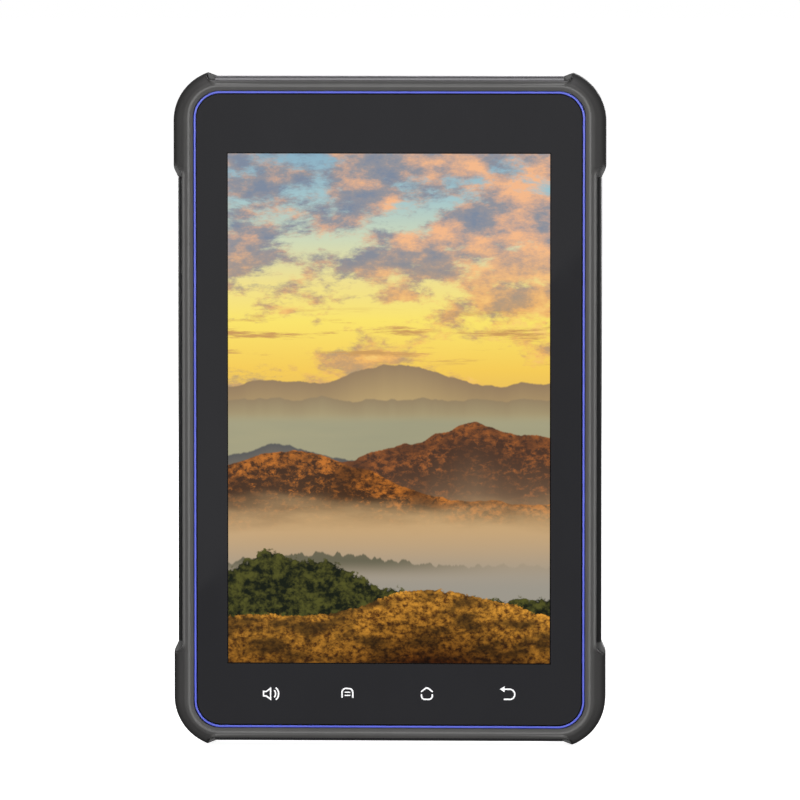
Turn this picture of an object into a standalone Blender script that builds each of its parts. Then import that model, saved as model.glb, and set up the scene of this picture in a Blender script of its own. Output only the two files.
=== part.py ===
"""Rugged eight-inch data collector, standing upright on its lower corner bumpers, screen towards -Y.

Lengths are in millimetres and become metres when a mesh is made. x and z are measured from the middle of
the body and y from the middle of its depth, so front faces have negative y. The finished object stands
on z = 0.
"""

import math

import bmesh
import bpy
from mathutils import Vector

MM = 0.001
GAP = 0.3

# Driving dimensions.
HALF_WIDTH = 72.2
HALF_HEIGHT = 112.4
FRONT_Y = -9.0
BACK_Y = 9.0

# Silhouette of one corner bumper.
BUMPER_RADIUS = 17.0
BUMPER_CENTRE_X = HALF_WIDTH - BUMPER_RADIUS
TIP_X = 61.1
TIP_FLAT = 0.9
BUMPER_CENTRE_Z = HALF_HEIGHT - math.sqrt(BUMPER_RADIUS**2 - (TIP_X - BUMPER_CENTRE_X) ** 2)
TIP_ANGLE = math.degrees(math.acos((TIP_X - BUMPER_CENTRE_X) / BUMPER_RADIUS))
BUMPER_END_Z = 77.8
BUMPER_END_X = 58.2
NOTCH_RISE = 3.2
NOTCH_RUN = 2.4

# Front frame section: crest of the bezel, outer edge and underside, in the recess and on the bumper.
CREST_X = 67.05
CREST_Z = 108.25
CREST_RADIUS = 10.4
LIP_X = 65.6
EDGE_Y = -7.3
UNDER_Y = -6.8
BUMPER_EDGE_Y = -5.2
BUMPER_UNDER_Y = -4.5
PAD_WIDTH = 8.7

# Recessed sides between the bumpers.
BAND_HALF_WIDTH = 70.8
BAND_HALF_HEIGHT = 111.3
FRAME_EDGE_X = 69.25
FRAME_EDGE_Z = 110.0
WALL_INSET = 0.6
FRAME_RIM = 0.3
SEAL_RECESS = 0.9

# Housing walls.
HOUSING_X = FRAME_EDGE_X - WALL_INSET
HOUSING_Z = FRAME_EDGE_Z - WALL_INSET
HOUSING_RADIUS = 14.0
HOUSING_WALL = 2.0
HOUSING_BACK_Y = 7.6
HOUSING_FLOOR_Y = 5.8
SPLIT_Y = -4.0
HOUSING_RIM_Y = SPLIT_Y + GAP

# Opening of the frame, the ring in it and the glass.
RING_X = 65.3
RING_Z = 106.5
RING_RADIUS = 8.7
RING_WIDTH = 0.85
RING_FRONT_Y = -8.3
GLASS_FRONT_Y = -8.1
GLASS_BACK_Y = -7.0
LEDGE_FRONT_Y = -6.0
LEDGE_BACK_Y = -4.9
LEDGE_HALF_WIDTH = 60.5
LEDGE_HALF_HEIGHT = 101.0
LEDGE_RADIUS = 4.0

# Display stack and chassis, front to back.
PANEL_HALF_WIDTH = 57.0
PANEL_TOP = 89.0
PANEL_BOTTOM = -91.0
PANEL_Y = (-6.7, -5.1)
BACKLIGHT_Y = (-4.8, -3.2)
CHASSIS_Y = (-2.6, -1.7)
CHASSIS_HALF_WIDTH = 63.5
CHASSIS_HALF_HEIGHT = 105.0
CHASSIS_RADIUS = 9.5

# Fasteners: M2.5 screws through bosses of the rear housing, and M4 inserts in the rear face.
SCREW_SPOTS = [(60.5, 74.0), (60.5, 0.0), (60.5, -74.0), (-60.5, 74.0), (-60.5, 0.0), (-60.5, -74.0)]
SCREW_SPOTS += [(0.0, 103.4), (0.0, -103.4)]
SCREW_HEAD_RADIUS = 2.2
SCREW_SHANK_RADIUS = 1.25
SCREW_SOCKET_RADIUS = 1.1
SCREW_BOSS_RADIUS = 3.0
INSERT_SPOTS = [(x, z) for z in (15.0, 45.0) for x in (-19.0, 19.0)]
INSERT_RADIUS = 2.8
INSERT_BORE = 1.65
INSERT_BOSS_RADIUS = 4.3

# Side features, all on one line along the depth.
SIDE_Y = 0.4
BUTTON_SPOTS = {"power_button": 58.0, "function_button": 38.0}
BUTTON_LENGTH = 14.0
BUTTON_HEIGHT = 4.0
BUTTON_STEM_RADIUS = 1.5
DOOR_HINGE_X = 69.85
DOOR_KNUCKLE = 0.85
DOOR_HALF_HEIGHT = 2.6
DOOR_STUB_RADIUS = 0.35
DOCK_HALF_WIDTH = 12.0
DOORS = {"usb": {"hinge": 32.5, "foot": 18.0, "seal": (19.9, 30.1)}}
DOORS["card"] = {"hinge": 72.5, "foot": 39.5, "seal": (42.5, 69.5)}

# Rear features.
CAMERA_SPOT = (38.0, 88.0)
FLASH_SPOT = (51.5, 88.0)
SPEAKER_SPOT = (37.0, -97.5)


def clear_scene():
    for obj in list(bpy.data.objects):
        bpy.data.objects.remove(obj, do_unlink=True)


def material(name, colour, roughness, metallic=0.0):
    made = bpy.data.materials.new(name)
    made.use_nodes = True
    shader = made.node_tree.nodes["Principled BSDF"]
    shader.inputs["Base Color"].default_value = (*colour, 1.0)
    shader.inputs["Roughness"].default_value = roughness
    shader.inputs["Metallic"].default_value = metallic
    made.diffuse_color = (*colour, 1.0)
    return made


def make_materials():
    return {
        "frame": material("frame_grey", (0.115, 0.112, 0.110), 0.55),
        "bumper": material("bumper_dark_grey", (0.045, 0.044, 0.043), 0.7),
        "black": material("housing_black", (0.014, 0.014, 0.015), 0.6),
        "blue": material("accent_blue", (0.12, 0.16, 0.87), 0.4),
        "glass": material("cover_glass_black", (0.012, 0.012, 0.014), 0.05),
        "screen": material("display_dark", (0.03, 0.03, 0.035), 0.3),
        "rubber": material("seal_rubber", (0.02, 0.02, 0.02), 0.85),
        "steel": material("steel", (0.55, 0.55, 0.56), 0.3, 1.0),
        "alloy": material("chassis_alloy", (0.6, 0.6, 0.62), 0.45, 1.0),
        "brass": material("brass", (0.78, 0.57, 0.25), 0.35, 1.0),
        "board": material("circuit_board", (0.02, 0.13, 0.05), 0.5),
        "flex": material("flex_circuit", (0.45, 0.22, 0.04), 0.45),
        "battery": material("battery_wrap", (0.05, 0.05, 0.055), 0.5),
        "ceramic": material("ceramic", (0.75, 0.72, 0.66), 0.5),
        "clear": material("clear_lens", (0.8, 0.8, 0.78), 0.1),
    }


def finish_mesh(name, mesh_data, look, origin=(0.0, 0.0, 0.0)):
    """Object from a closed bmesh in millimetres. origin, also in millimetres, becomes its location."""
    bmesh.ops.remove_doubles(mesh_data, verts=mesh_data.verts, dist=1e-5)
    bmesh.ops.recalc_face_normals(mesh_data, faces=mesh_data.faces)
    offset = Vector(origin)
    for vert in mesh_data.verts:
        vert.co = (vert.co - offset) * MM
    mesh = bpy.data.meshes.new(name)
    mesh_data.to_mesh(mesh)
    mesh_data.free()
    mesh.shade_smooth()
    mesh.set_sharp_from_angle(angle=math.radians(30))
    obj = bpy.data.objects.new(name, mesh)
    obj.location = (offset + Vector((0.0, 0.0, HALF_HEIGHT))) * MM
    if look:
        mesh.materials.append(look)
    bpy.context.scene.collection.objects.link(obj)
    return obj


def bridge(mesh_data, first, second):
    """Joins two loops of vertices that have the same number of points."""
    count = len(first)
    for i in range(count):
        j = (i + 1) % count
        mesh_data.faces.new((first[i], first[j], second[j], second[i]))


def loft(name, loops, look=None, closed=False, origin=(0.0, 0.0, 0.0)):
    """Solid through loops of (x, y, z) points. A closed one goes round, an open one is capped."""
    mesh_data = bmesh.new()
    rings = [[mesh_data.verts.new(point) for point in loop] for loop in loops]
    for first, second in zip(rings, rings[1:]):
        bridge(mesh_data, first, second)
    if closed:
        bridge(mesh_data, rings[-1], rings[0])
    else:
        mesh_data.faces.new(rings[0])
        mesh_data.faces.new(list(reversed(rings[-1])))
    return finish_mesh(name, mesh_data, look, origin)


def at_depth(outline, y):
    return [(x, y, z) for x, z in outline]


def rounded_rectangle(half_width, half_height, radius, centre=(0.0, 0.0), steps=5):
    """Outline in x and z, anticlockwise from the right side, with each corner as an arc."""
    outline = []
    for turn, (side_x, side_z) in enumerate(((1, 1), (-1, 1), (-1, -1), (1, -1))):
        for step in range(steps + 1):
            angle = math.radians(90.0 * (turn + step / steps))
            x = centre[0] + side_x * (half_width - radius) + radius * math.cos(angle)
            z = centre[1] + side_z * (half_height - radius) + radius * math.sin(angle)
            outline.append((x, z))
    return outline


def rectangle(low_x, high_x, low_z, high_z):
    return [(high_x, low_z), (high_x, high_z), (low_x, high_z), (low_x, low_z)]


def slab(name, outline, depths, look=None):
    return loft(name, [at_depth(outline, y) for y in depths], look)


def ring(name, outer, inner, depths, look):
    front, back = depths
    loops = [at_depth(outer, front), at_depth(outer, back), at_depth(inner, back), at_depth(inner, front)]
    return loft(name, loops, look, closed=True)


def block(name, spans, look=None, bevel=0.0):
    """Box from three spans along x, y and z, with an optional bevel on every edge."""
    outline = rectangle(*spans[0], *spans[2])
    obj = slab(name, outline, spans[1], look)
    if bevel:
        add_bevel(obj, bevel)
    return obj


def add_bevel(obj, width, segments=1):
    modifier = obj.modifiers.new("soft_edges", "BEVEL")
    modifier.width = width * MM
    modifier.segments = segments
    modifier.limit_method = "ANGLE"
    modifier.angle_limit = math.radians(40)


def turned(name, spot, profile, look=None, sides=12, closed=False):
    """Round piece on an axis along y at spot (x, z), from (radius, y) pairs. A closed one is a ring."""
    loops = []
    for radius, y in profile:
        angles = [2 * math.pi * i / sides for i in range(sides)]
        loops.append([(spot[0] + radius * math.cos(a), y, spot[1] + radius * math.sin(a)) for a in angles])
    return loft(name, loops, look, closed)


def turned_along_x(name, spot, profile, look=None, sides=12):
    """Round piece on an axis along x at spot (y, z), from (radius, x) pairs."""
    loops = []
    for radius, x in profile:
        angles = [2 * math.pi * i / sides for i in range(sides)]
        loops.append([(x, spot[0] + radius * math.cos(a), spot[1] + radius * math.sin(a)) for a in angles])
    return loft(name, loops, look)


def stadium_loop(x, centre_z, length, height, steps=4):
    """Slot-shaped loop in the plane across x, long in z."""
    radius = height / 2
    loop = []
    for side, start in ((1, 0.0), (-1, 180.0)):
        for step in range(steps + 1):
            angle = math.radians(start + 180.0 * step / steps)
            y = SIDE_Y + radius * math.cos(angle)
            z = centre_z + side * (length / 2 - radius) + radius * math.sin(angle)
            loop.append((x, y, z))
    return loop


def join(name, objects, look=None):
    """Puts solids that don't touch into one object, to serve as one cutter or one set of bosses."""
    mesh_data = bmesh.new()
    for obj in objects:
        mesh_data.from_mesh(obj.data)
        bpy.data.objects.remove(obj, do_unlink=True)
    mesh = bpy.data.meshes.new(name)
    mesh_data.to_mesh(mesh)
    mesh_data.free()
    joined = bpy.data.objects.new(name, mesh)
    joined.location = (0.0, 0.0, HALF_HEIGHT * MM)
    if look:
        mesh.materials.append(look)
    bpy.context.scene.collection.objects.link(joined)
    return joined


def combine(target, tool, operation):
    """Cuts, joins or intersects target with a helper, which stays out of the finished object."""
    tool.hide_render = True
    tool.display_type = "WIRE"
    modifier = target.modifiers.new(tool.name, "BOOLEAN")
    modifier.operation = operation
    modifier.solver = "EXACT"
    modifier.object = tool
    return target


# The perimeter of the casing. One quarter is walked from the right side up and over to the top.


def quarter_stations():
    """Stations (kind, value, share, inner) of one quarter of the front frame.

    The value is z on the side, an angle in degrees on the corner and x on the top. share is how far the
    bumper has swollen there: 0 in the recess, 1 on the bumper, None where the wall steps in for a strip.
    inner is the place on a plain rounded rectangle: z on the side, and an angle from there on.
    """
    stations = [("side", BUMPER_END_Z - GAP, None, BUMPER_END_Z - GAP)]
    for angle in (0, 30, 60, 90):
        z = BUMPER_END_Z + 0.5 + NOTCH_RISE * math.sin(math.radians(angle))
        stations.append(("side", z, 1 - math.cos(math.radians(angle)), z))
    for angle in (0.0, 14.0, 28.0, 42.0, 56.0, TIP_ANGLE):
        stations.append(("corner", angle, 1.0, angle))
    for angle, inner in ((60, 75.0), (30, 82.0), (0, 90.0)):
        x = BUMPER_END_X + 0.7 + NOTCH_RUN * math.sin(math.radians(angle))
        stations.append(("top", x, 1 - math.cos(math.radians(angle)), inner))
    stations.append(("top", BUMPER_END_X - GAP, None, 90.5))
    return stations


def mirrored(quarter):
    """Full outline from the points of its first quarter."""
    top_left = [(-point[0], *point[1:]) for point in reversed(quarter)]
    bottom_left = [(-point[0], *point[1:-1], -point[-1]) for point in quarter]
    bottom_right = [(*point[:-1], -point[-1]) for point in reversed(quarter)]
    return quarter + top_left + bottom_left + bottom_right


def plain_quarter(places, half_width, half_height, radius):
    """Quarter of a rounded rectangle at places (kind, value): z on the side, then angles on the corner."""
    centre_x = half_width - radius
    centre_z = half_height - radius
    quarter = []
    for kind, value in places:
        if kind == "side":
            rise = max(0.0, value - centre_z)
            quarter.append((centre_x + math.sqrt(radius**2 - rise**2), value))
            continue
        angle = math.radians(min(value, 90.0))
        past_end = max(0.0, value - 90.0)
        x = centre_x + radius * math.cos(angle) - past_end
        quarter.append((x, centre_z + radius * math.sin(angle)))
    return quarter


def frame_edge(station):
    """Outermost point of the front frame at a station."""
    kind, value, share, _ = station
    swell = share or 0.0
    rim_radius = BUMPER_RADIUS - FRAME_RIM
    if kind == "side":
        return FRAME_EDGE_X + swell * (HALF_WIDTH - FRAME_RIM - FRAME_EDGE_X), value
    if kind == "corner":
        angle = math.radians(value)
        x = BUMPER_CENTRE_X + rim_radius * math.cos(angle)
        return x, BUMPER_CENTRE_Z + rim_radius * math.sin(angle)
    tip_z = BUMPER_CENTRE_Z + rim_radius * math.sin(math.radians(TIP_ANGLE))
    return value, FRAME_EDGE_Z + swell * (tip_z - FRAME_EDGE_Z)


def front_frame_loops():
    stations = quarter_stations()
    places = [(kind if kind == "side" else "corner", inner) for kind, _, _, inner in stations]
    shares = [share or 0.0 for _, _, share, _ in stations]

    def plain(half_width, half_height, radius, y):
        return [(x, y, z) for x, z in plain_quarter(places, half_width, half_height, radius)]

    edge = [frame_edge(station) for station in stations]
    edge_y = [EDGE_Y + share * (BUMPER_EDGE_Y - EDGE_Y) for share in shares]
    under_y = [UNDER_Y + share * (BUMPER_UNDER_Y - UNDER_Y) for share in shares]
    crest = plain(CREST_X, CREST_Z, CREST_RADIUS, FRONT_Y)
    lip_inset = CREST_X - LIP_X
    loops = [plain(LIP_X, CREST_Z - lip_inset, CREST_RADIUS - lip_inset, RING_FRONT_Y)]
    loops.append(plain(CREST_X - 0.6, CREST_Z - 0.6, CREST_RADIUS - 0.6, FRONT_Y + 0.12))
    loops.append(crest)
    for step in (1, 2):
        angle = math.radians(90.0 * step / 3)
        rolled = []
        for (x0, y0, z0), (x1, z1), y1 in zip(crest, edge, edge_y):
            across = math.sin(angle)
            down = 1 - math.cos(angle)
            rolled.append((x0 + across * (x1 - x0), y0 + down * (y1 - y0), z0 + across * (z1 - z0)))
        loops.append(rolled)
    loops.append([(x, y, z) for (x, z), y in zip(edge, edge_y)])
    loops.append([(x, y, z) for (x, z), y in zip(edge, under_y)])
    wall = []
    for (kind, _, share, _), (x, z) in zip(stations, edge):
        step_in = WALL_INSET if share is None else 0.0
        wall.append((x - step_in, z) if kind == "side" else (x, z - step_in))
    loops.append([(x, y, z) for (x, z), y in zip(wall, under_y)])
    loops.append([(x, SPLIT_Y, z) for x, z in wall])
    wall_offset = SEAL_RECESS - lip_inset
    inner_wall = (CREST_X + wall_offset, CREST_Z + wall_offset, CREST_RADIUS + wall_offset)
    loops.append(plain(*inner_wall, SPLIT_Y))
    loops.append(plain(*inner_wall, LEDGE_BACK_Y))
    loops.append(plain(LEDGE_HALF_WIDTH, LEDGE_HALF_HEIGHT, LEDGE_RADIUS, LEDGE_BACK_Y))
    loops.append(plain(LEDGE_HALF_WIDTH, LEDGE_HALF_HEIGHT, LEDGE_RADIUS, LEDGE_FRONT_Y))
    loops.append(plain(LIP_X, CREST_Z - lip_inset, CREST_RADIUS - lip_inset, LEDGE_FRONT_Y))
    return [mirrored(loop) for loop in loops]


def make_front(looks):
    loft("front_frame", front_frame_loops(), looks["frame"], closed=True)
    inner_ring = (RING_X - RING_WIDTH, RING_Z - RING_WIDTH, RING_RADIUS - RING_WIDTH)
    outer = rounded_rectangle(RING_X, RING_Z, RING_RADIUS, steps=6)
    inner = rounded_rectangle(*inner_ring, steps=6)
    ring("accent_ring", outer, inner, (RING_FRONT_Y, LEDGE_FRONT_Y - GAP), looks["blue"])
    glass = rounded_rectangle(*(size - GAP for size in inner_ring), steps=6)
    slab("cover_glass", glass, (GLASS_FRONT_Y, GLASS_BACK_Y), looks["glass"])
    outer = rounded_rectangle(RING_X - 1.8, RING_Z - 1.8, RING_RADIUS - 1.8, steps=4)
    inner = rounded_rectangle(LEDGE_HALF_WIDTH + GAP, LEDGE_HALF_HEIGHT + GAP, LEDGE_RADIUS, steps=4)
    ring("glass_adhesive", outer, inner, (GLASS_BACK_Y + GAP, LEDGE_FRONT_Y - GAP), looks["rubber"])


def make_display(looks):
    across = (-PANEL_HALF_WIDTH, PANEL_HALF_WIDTH)
    block("lcd_panel", (across, PANEL_Y, (PANEL_BOTTOM, PANEL_TOP)), looks["screen"], bevel=0.2)
    across = (-PANEL_HALF_WIDTH + 0.5, PANEL_HALF_WIDTH - 0.5)
    spans = (across, BACKLIGHT_Y, (PANEL_BOTTOM + 0.5, PANEL_TOP - 0.5))
    block("backlight_unit", spans, looks["steel"], bevel=0.3)
    key_row = ((-46.0, 46.0), (PANEL_Y[0], PANEL_Y[0] + 0.4), (-98.6, -92.2))
    block("touch_key_flex", key_row, looks["flex"])
    # The display's flexible circuit runs behind the backlight and through the chassis to the main board.
    route = [(-3.0, -22.0), (-3.0, 0.6), (-1.15, 2.4), (-1.15, 9.0)]
    thickness = 0.2
    back = [(y + thickness, z) for y, z in route]
    section = route + list(reversed(back))
    loft("display_flex", [[(x, y, z) for y, z in section] for x in (8.0, 30.0)], looks["flex"])


def make_chassis(looks):
    outline = rounded_rectangle(CHASSIS_HALF_WIDTH, CHASSIS_HALF_HEIGHT, CHASSIS_RADIUS, steps=4)
    plate = slab("mid_frame", outline, CHASSIS_Y, looks["alloy"])
    margin = (CHASSIS_Y[0] - 1.0, CHASSIS_Y[1] + 1.0)
    hole_radius = SCREW_SHANK_RADIUS + GAP
    tools = [turned("hole", spot, [(hole_radius, y) for y in margin]) for spot in SCREW_SPOTS]
    tools.append(slab("flex_slot", rectangle(6.0, 32.0, -1.2, 4.0), margin))
    for side in (-1, 1):
        window = rounded_rectangle(16.0, 30.0, 4.0, (side * 30.0, -45.0), steps=2)
        tools.append(slab("battery_window", window, margin))
    combine(plate, join("chassis_holes", tools), "DIFFERENCE")
    outer = rounded_rectangle(HOUSING_X - HOUSING_WALL - GAP, HOUSING_Z - HOUSING_WALL - GAP, 11.7, steps=5)
    inner = rounded_rectangle(HOUSING_X - HOUSING_WALL - 1.3, HOUSING_Z - HOUSING_WALL - 1.3, 10.7, steps=5)
    ring("main_seal", outer, inner, (LEDGE_BACK_Y + GAP, CHASSIS_Y[0]), looks["rubber"])


def make_rear_housing(looks):
    outer = (HOUSING_X, HOUSING_Z, HOUSING_RADIUS)
    inner = tuple(size - HOUSING_WALL for size in outer)
    chamfer = HOUSING_BACK_Y - HOUSING_FLOOR_Y
    back = tuple(size - chamfer for size in outer)
    levels = [(inner, HOUSING_FLOOR_Y), (inner, HOUSING_RIM_Y), (outer, HOUSING_RIM_Y)]
    levels += [(outer, HOUSING_FLOOR_Y), (back, HOUSING_BACK_Y)]
    loops = [at_depth(rounded_rectangle(*sizes, steps=6), y) for sizes, y in levels]
    shell = loft("rear_housing", loops, looks["black"])
    boss_front = CHASSIS_Y[1] + GAP
    in_floor = (HOUSING_FLOOR_Y + HOUSING_BACK_Y) / 2
    bosses = []
    for spot in SCREW_SPOTS:
        bosses.append(turned("boss", spot, [(SCREW_BOSS_RADIUS, boss_front), (SCREW_BOSS_RADIUS, in_floor)]))
    for spot in INSERT_SPOTS:
        bosses.append(turned("boss", spot, [(INSERT_BOSS_RADIUS, 3.3), (INSERT_BOSS_RADIUS, in_floor)]))
    combine(shell, join("housing_bosses", bosses), "UNION")
    combine(shell, join("housing_openings", housing_openings()), "DIFFERENCE")


def housing_openings():
    outside = HOUSING_BACK_Y + 1.0
    inside = HOUSING_FLOOR_Y - 1.0
    shank = SCREW_SHANK_RADIUS + GAP
    head = SCREW_HEAD_RADIUS + GAP
    tools = []
    for spot in SCREW_SPOTS:
        profile = [(shank, CHASSIS_Y[1] - 1.0), (shank, 6.0), (head, 6.0), (head, outside)]
        tools.append(turned("screw_hole", spot, profile))
    for spot in INSERT_SPOTS:
        profile = [(INSERT_RADIUS + GAP, 3.9), (INSERT_RADIUS + GAP, outside)]
        tools.append(turned("insert_hole", spot, profile, sides=14))
    profile = [(4.4, inside), (4.4, 6.7), (7.8, 6.7), (7.8, outside)]
    tools.append(turned("camera_hole", CAMERA_SPOT, profile, sides=24))
    tools.append(turned("flash_hole", FLASH_SPOT, [(2.8, inside), (2.8, outside)], sides=16))
    through = rounded_rectangle(9.5, 3.0, 1.0, SPEAKER_SPOT, steps=2)
    recess = rounded_rectangle(11.3, 4.3, 1.3, SPEAKER_SPOT, steps=2)
    depths = ((through, inside), (through, 6.6), (recess, 6.6), (recess, outside))
    tools.append(loft("speaker_hole", [at_depth(outline, y) for outline, y in depths]))
    walls = (HOUSING_X - HOUSING_WALL - 1.0, HOUSING_X + 1.0)
    for z in BUTTON_SPOTS.values():
        stem_hole = [(BUTTON_STEM_RADIUS + 0.4, walls[0]), (BUTTON_STEM_RADIUS + 0.4, walls[1])]
        tools.append(turned_along_x("stem_hole", (SIDE_Y, z), stem_hole, sides=10))
    for door in DOORS.values():
        low, high = door["seal"]
        spans = ((-walls[1], -walls[0]), (SIDE_Y - 2.3, SIDE_Y + 2.3), (low - 0.7, high + 0.6))
        tools.append(block("port_hole", spans))
    dock = ((-DOCK_HALF_WIDTH - GAP, DOCK_HALF_WIDTH + GAP), (SIDE_Y - 2.8, SIDE_Y + 2.8))
    tools.append(block("dock_hole", (*dock, (-HOUSING_Z - 1.0, -HOUSING_Z + HOUSING_WALL + 0.5))))
    return tools


def make_corner_bumpers(looks):
    """Rear halves of the bumpers: one swollen ring round the casing, of which each bumper is a corner."""
    outline = [(BAND_HALF_WIDTH, BUMPER_END_Z), (HALF_WIDTH - 0.15, BUMPER_END_Z + 2.8)]
    outline.append((HALF_WIDTH, BUMPER_END_Z + 3.9))
    places = [("side", z) for _, z in outline]
    for angle in (0.0, 14.0, 28.0, 42.0, 56.0, TIP_ANGLE):
        x = BUMPER_CENTRE_X + BUMPER_RADIUS * math.cos(math.radians(angle))
        outline.append((x, BUMPER_CENTRE_Z + BUMPER_RADIUS * math.sin(math.radians(angle))))
        places.append(("corner", angle))
    outline += [(TIP_X - TIP_FLAT, HALF_HEIGHT), (BUMPER_END_X, BAND_HALF_HEIGHT)]
    places += [("corner", 80.0), ("corner", 90.0)]
    bore = (HOUSING_X + GAP, HOUSING_Z + GAP, HOUSING_RADIUS + GAP)
    against = plain_quarter(places, *bore)

    def between(share, y):
        pairs = zip(outline, against)
        return [(x0 + share * (x1 - x0), y, z0 + share * (z1 - z0)) for (x0, z0), (x1, z1) in pairs]

    def inset(depth, y):
        return [(x, y, z) for x, z in plain_quarter(places, *(size - depth for size in bore))]

    loops = [between(0.0, HOUSING_RIM_Y), between(0.0, 5.3), between(0.2, 7.4), between(0.65, BACK_Y)]
    loops += [inset(PAD_WIDTH - 1.0, BACK_Y), inset(PAD_WIDTH, HOUSING_BACK_Y + GAP)]
    loops += [inset(1.9, HOUSING_BACK_Y + GAP), inset(0.0, HOUSING_FLOOR_Y), inset(0.0, HOUSING_RIM_Y)]
    for vertical, up in (("top", 1), ("bottom", -1)):
        for sideways, out in (("left", -1), ("right", 1)):
            name = f"corner_bumper_{vertical}_{sideways}"
            bumper = loft(name, [mirrored(loop) for loop in loops], looks["bumper"], closed=True)
            xs = sorted((out * (BUMPER_END_X + 0.02), out * 80.0))
            zs = sorted((up * (BUMPER_END_Z + 0.02), up * 120.0))
            combine(bumper, block(f"{name}_region", (xs, (-20.0, 20.0), zs)), "INTERSECT")


def strip_section(inner, edge, outer):
    """Section of a side strip as (distance from the middle, y)."""
    section = [(inner, UNDER_Y + GAP), (edge, UNDER_Y + GAP), (outer, -4.4), (outer, 4.9)]
    return section + [(edge + 0.3, 6.1), (inner, 6.1)]


def make_strips(looks):
    section = strip_section(HOUSING_X + GAP, FRAME_EDGE_X, BAND_HALF_WIDTH)
    reach = BUMPER_END_Z - 2 * GAP
    for name, side in (("side_grip_left", -1), ("side_grip_right", 1)):
        loops = [[(side * out, y, z) for out, y in section] for z in (-reach, reach)]
        loft(name, loops, looks["black"])
    section = strip_section(HOUSING_Z + GAP, FRAME_EDGE_Z, BAND_HALF_HEIGHT)
    reach = BUMPER_END_X - 2 * GAP
    for name, side in (("bottom_trim", -1), ("top_trim", 1)):
        loops = [[(x, y, side * out) for out, y in section] for x in (-reach, reach)]
        loft(name, loops, looks["black"])
    dock = ((-DOCK_HALF_WIDTH - GAP, DOCK_HALF_WIDTH + GAP), (SIDE_Y - 2.8, SIDE_Y + 2.8))
    opening = block("dock_opening", (*dock, (-HALF_HEIGHT - 1.0, -HOUSING_Z + 1.0)))
    combine(bpy.data.objects["bottom_trim"], opening, "DIFFERENCE")


def make_buttons(looks):
    """Side keys: a cap with a flange behind the strip and a stem through the housing wall to its switch."""
    openings = []
    back = HOUSING_X
    shoulder = FRAME_EDGE_X + 0.6
    for name, z in BUTTON_SPOTS.items():
        flange = (BUTTON_LENGTH + 2.0, BUTTON_HEIGHT + 1.6)
        cap = (BUTTON_LENGTH, BUTTON_HEIGHT)
        stem = (2 * BUTTON_STEM_RADIUS, 2 * BUTTON_STEM_RADIUS)
        levels = [(66.0, stem), (69.1, stem), (69.1, flange), (69.5, flange), (69.5, cap), (70.2, cap)]
        levels.append((70.5, (BUTTON_LENGTH - 0.6, BUTTON_HEIGHT - 0.6)))
        loops = [stadium_loop(x, z, *size) for x, size in levels]
        loft(name, loops, looks["bumper"], origin=(66.0, SIDE_Y, z))
        room = 2 * 0.4
        wide = (flange[0] + room, flange[1] + room)
        narrow = (cap[0] + room, cap[1] + room)
        levels = [(back - 1.0, wide), (shoulder, wide), (shoulder, narrow), (BAND_HALF_WIDTH + 1.0, narrow)]
        openings.append(loft("key_opening", [stadium_loop(x, z, *size) for x, size in levels]))
    combine(bpy.data.objects["side_grip_right"], join("key_openings", openings), "DIFFERENCE")
    spans = ((64.2, 64.7), (SIDE_Y - 1.6, SIDE_Y + 1.6), (30.0, 66.0))
    board = block("side_key_board", spans, looks["board"])
    domes = [
        turned_along_x("dome", (SIDE_Y, z), [(1.4, 64.5), (1.4, 65.1), (0.9, 65.5)], sides=10)
        for z in BUTTON_SPOTS.values()
    ]
    combine(board, join("key_domes", domes), "UNION")


def make_port_doors(looks):
    """Doors in the left strip, which swing out about stubs at their upper ends, each with a rubber seal."""
    openings = []
    for name, door in DOORS.items():
        hinge = door["hinge"]
        pivot = (-DOOR_HINGE_X, SIDE_Y, hinge)
        outline = [(-DOOR_HINGE_X - DOOR_KNUCKLE, door["foot"] + 0.5)]
        for step in range(7):
            angle = math.radians(180.0 - 30.0 * step)
            x = -DOOR_HINGE_X + DOOR_KNUCKLE * math.cos(angle)
            outline.append((x, hinge + DOOR_KNUCKLE * math.sin(angle)))
        outline += [(-69.3, hinge - DOOR_KNUCKLE - 0.5), (-69.3, door["foot"])]
        outline.append((-DOOR_HINGE_X - DOOR_KNUCKLE + 0.5, door["foot"]))
        depths = (SIDE_Y - DOOR_HALF_HEIGHT, SIDE_Y + DOOR_HALF_HEIGHT)
        leaf = loft(f"{name}_door", [at_depth(outline, y) for y in depths], looks["bumper"], origin=pivot)
        stub_reach = DOOR_HALF_HEIGHT + 0.9
        stub = [(DOOR_STUB_RADIUS, SIDE_Y - stub_reach), (DOOR_STUB_RADIUS, SIDE_Y + stub_reach)]
        combine(leaf, turned(f"{name}_pivot_stub", (pivot[0], hinge), stub, sides=10), "UNION")
        low, high = door["seal"]
        spans = ((-69.0, -66.9), (SIDE_Y - 1.8, SIDE_Y + 1.8), (low, high))
        block(f"{name}_door_seal", spans, looks["rubber"], bevel=0.5)
        spans = ((-BAND_HALF_WIDTH - 1.0, -HOUSING_X), (depths[0] - GAP, depths[1] + GAP))
        openings.append(block("door_opening", (*spans, (door["foot"] - 0.4, hinge + DOOR_KNUCKLE + 0.4))))
        socket_reach = stub_reach + GAP
        socket_radius = DOOR_STUB_RADIUS + GAP
        socket = [(socket_radius, SIDE_Y - socket_reach), (socket_radius, SIDE_Y + socket_reach)]
        pivot_socket = turned(f"{name}_pivot_socket", (pivot[0], hinge), socket, sides=10)
        combine(bpy.data.objects["side_grip_left"], pivot_socket, "DIFFERENCE")
    combine(bpy.data.objects["side_grip_left"], join("door_openings", openings), "DIFFERENCE")


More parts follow.
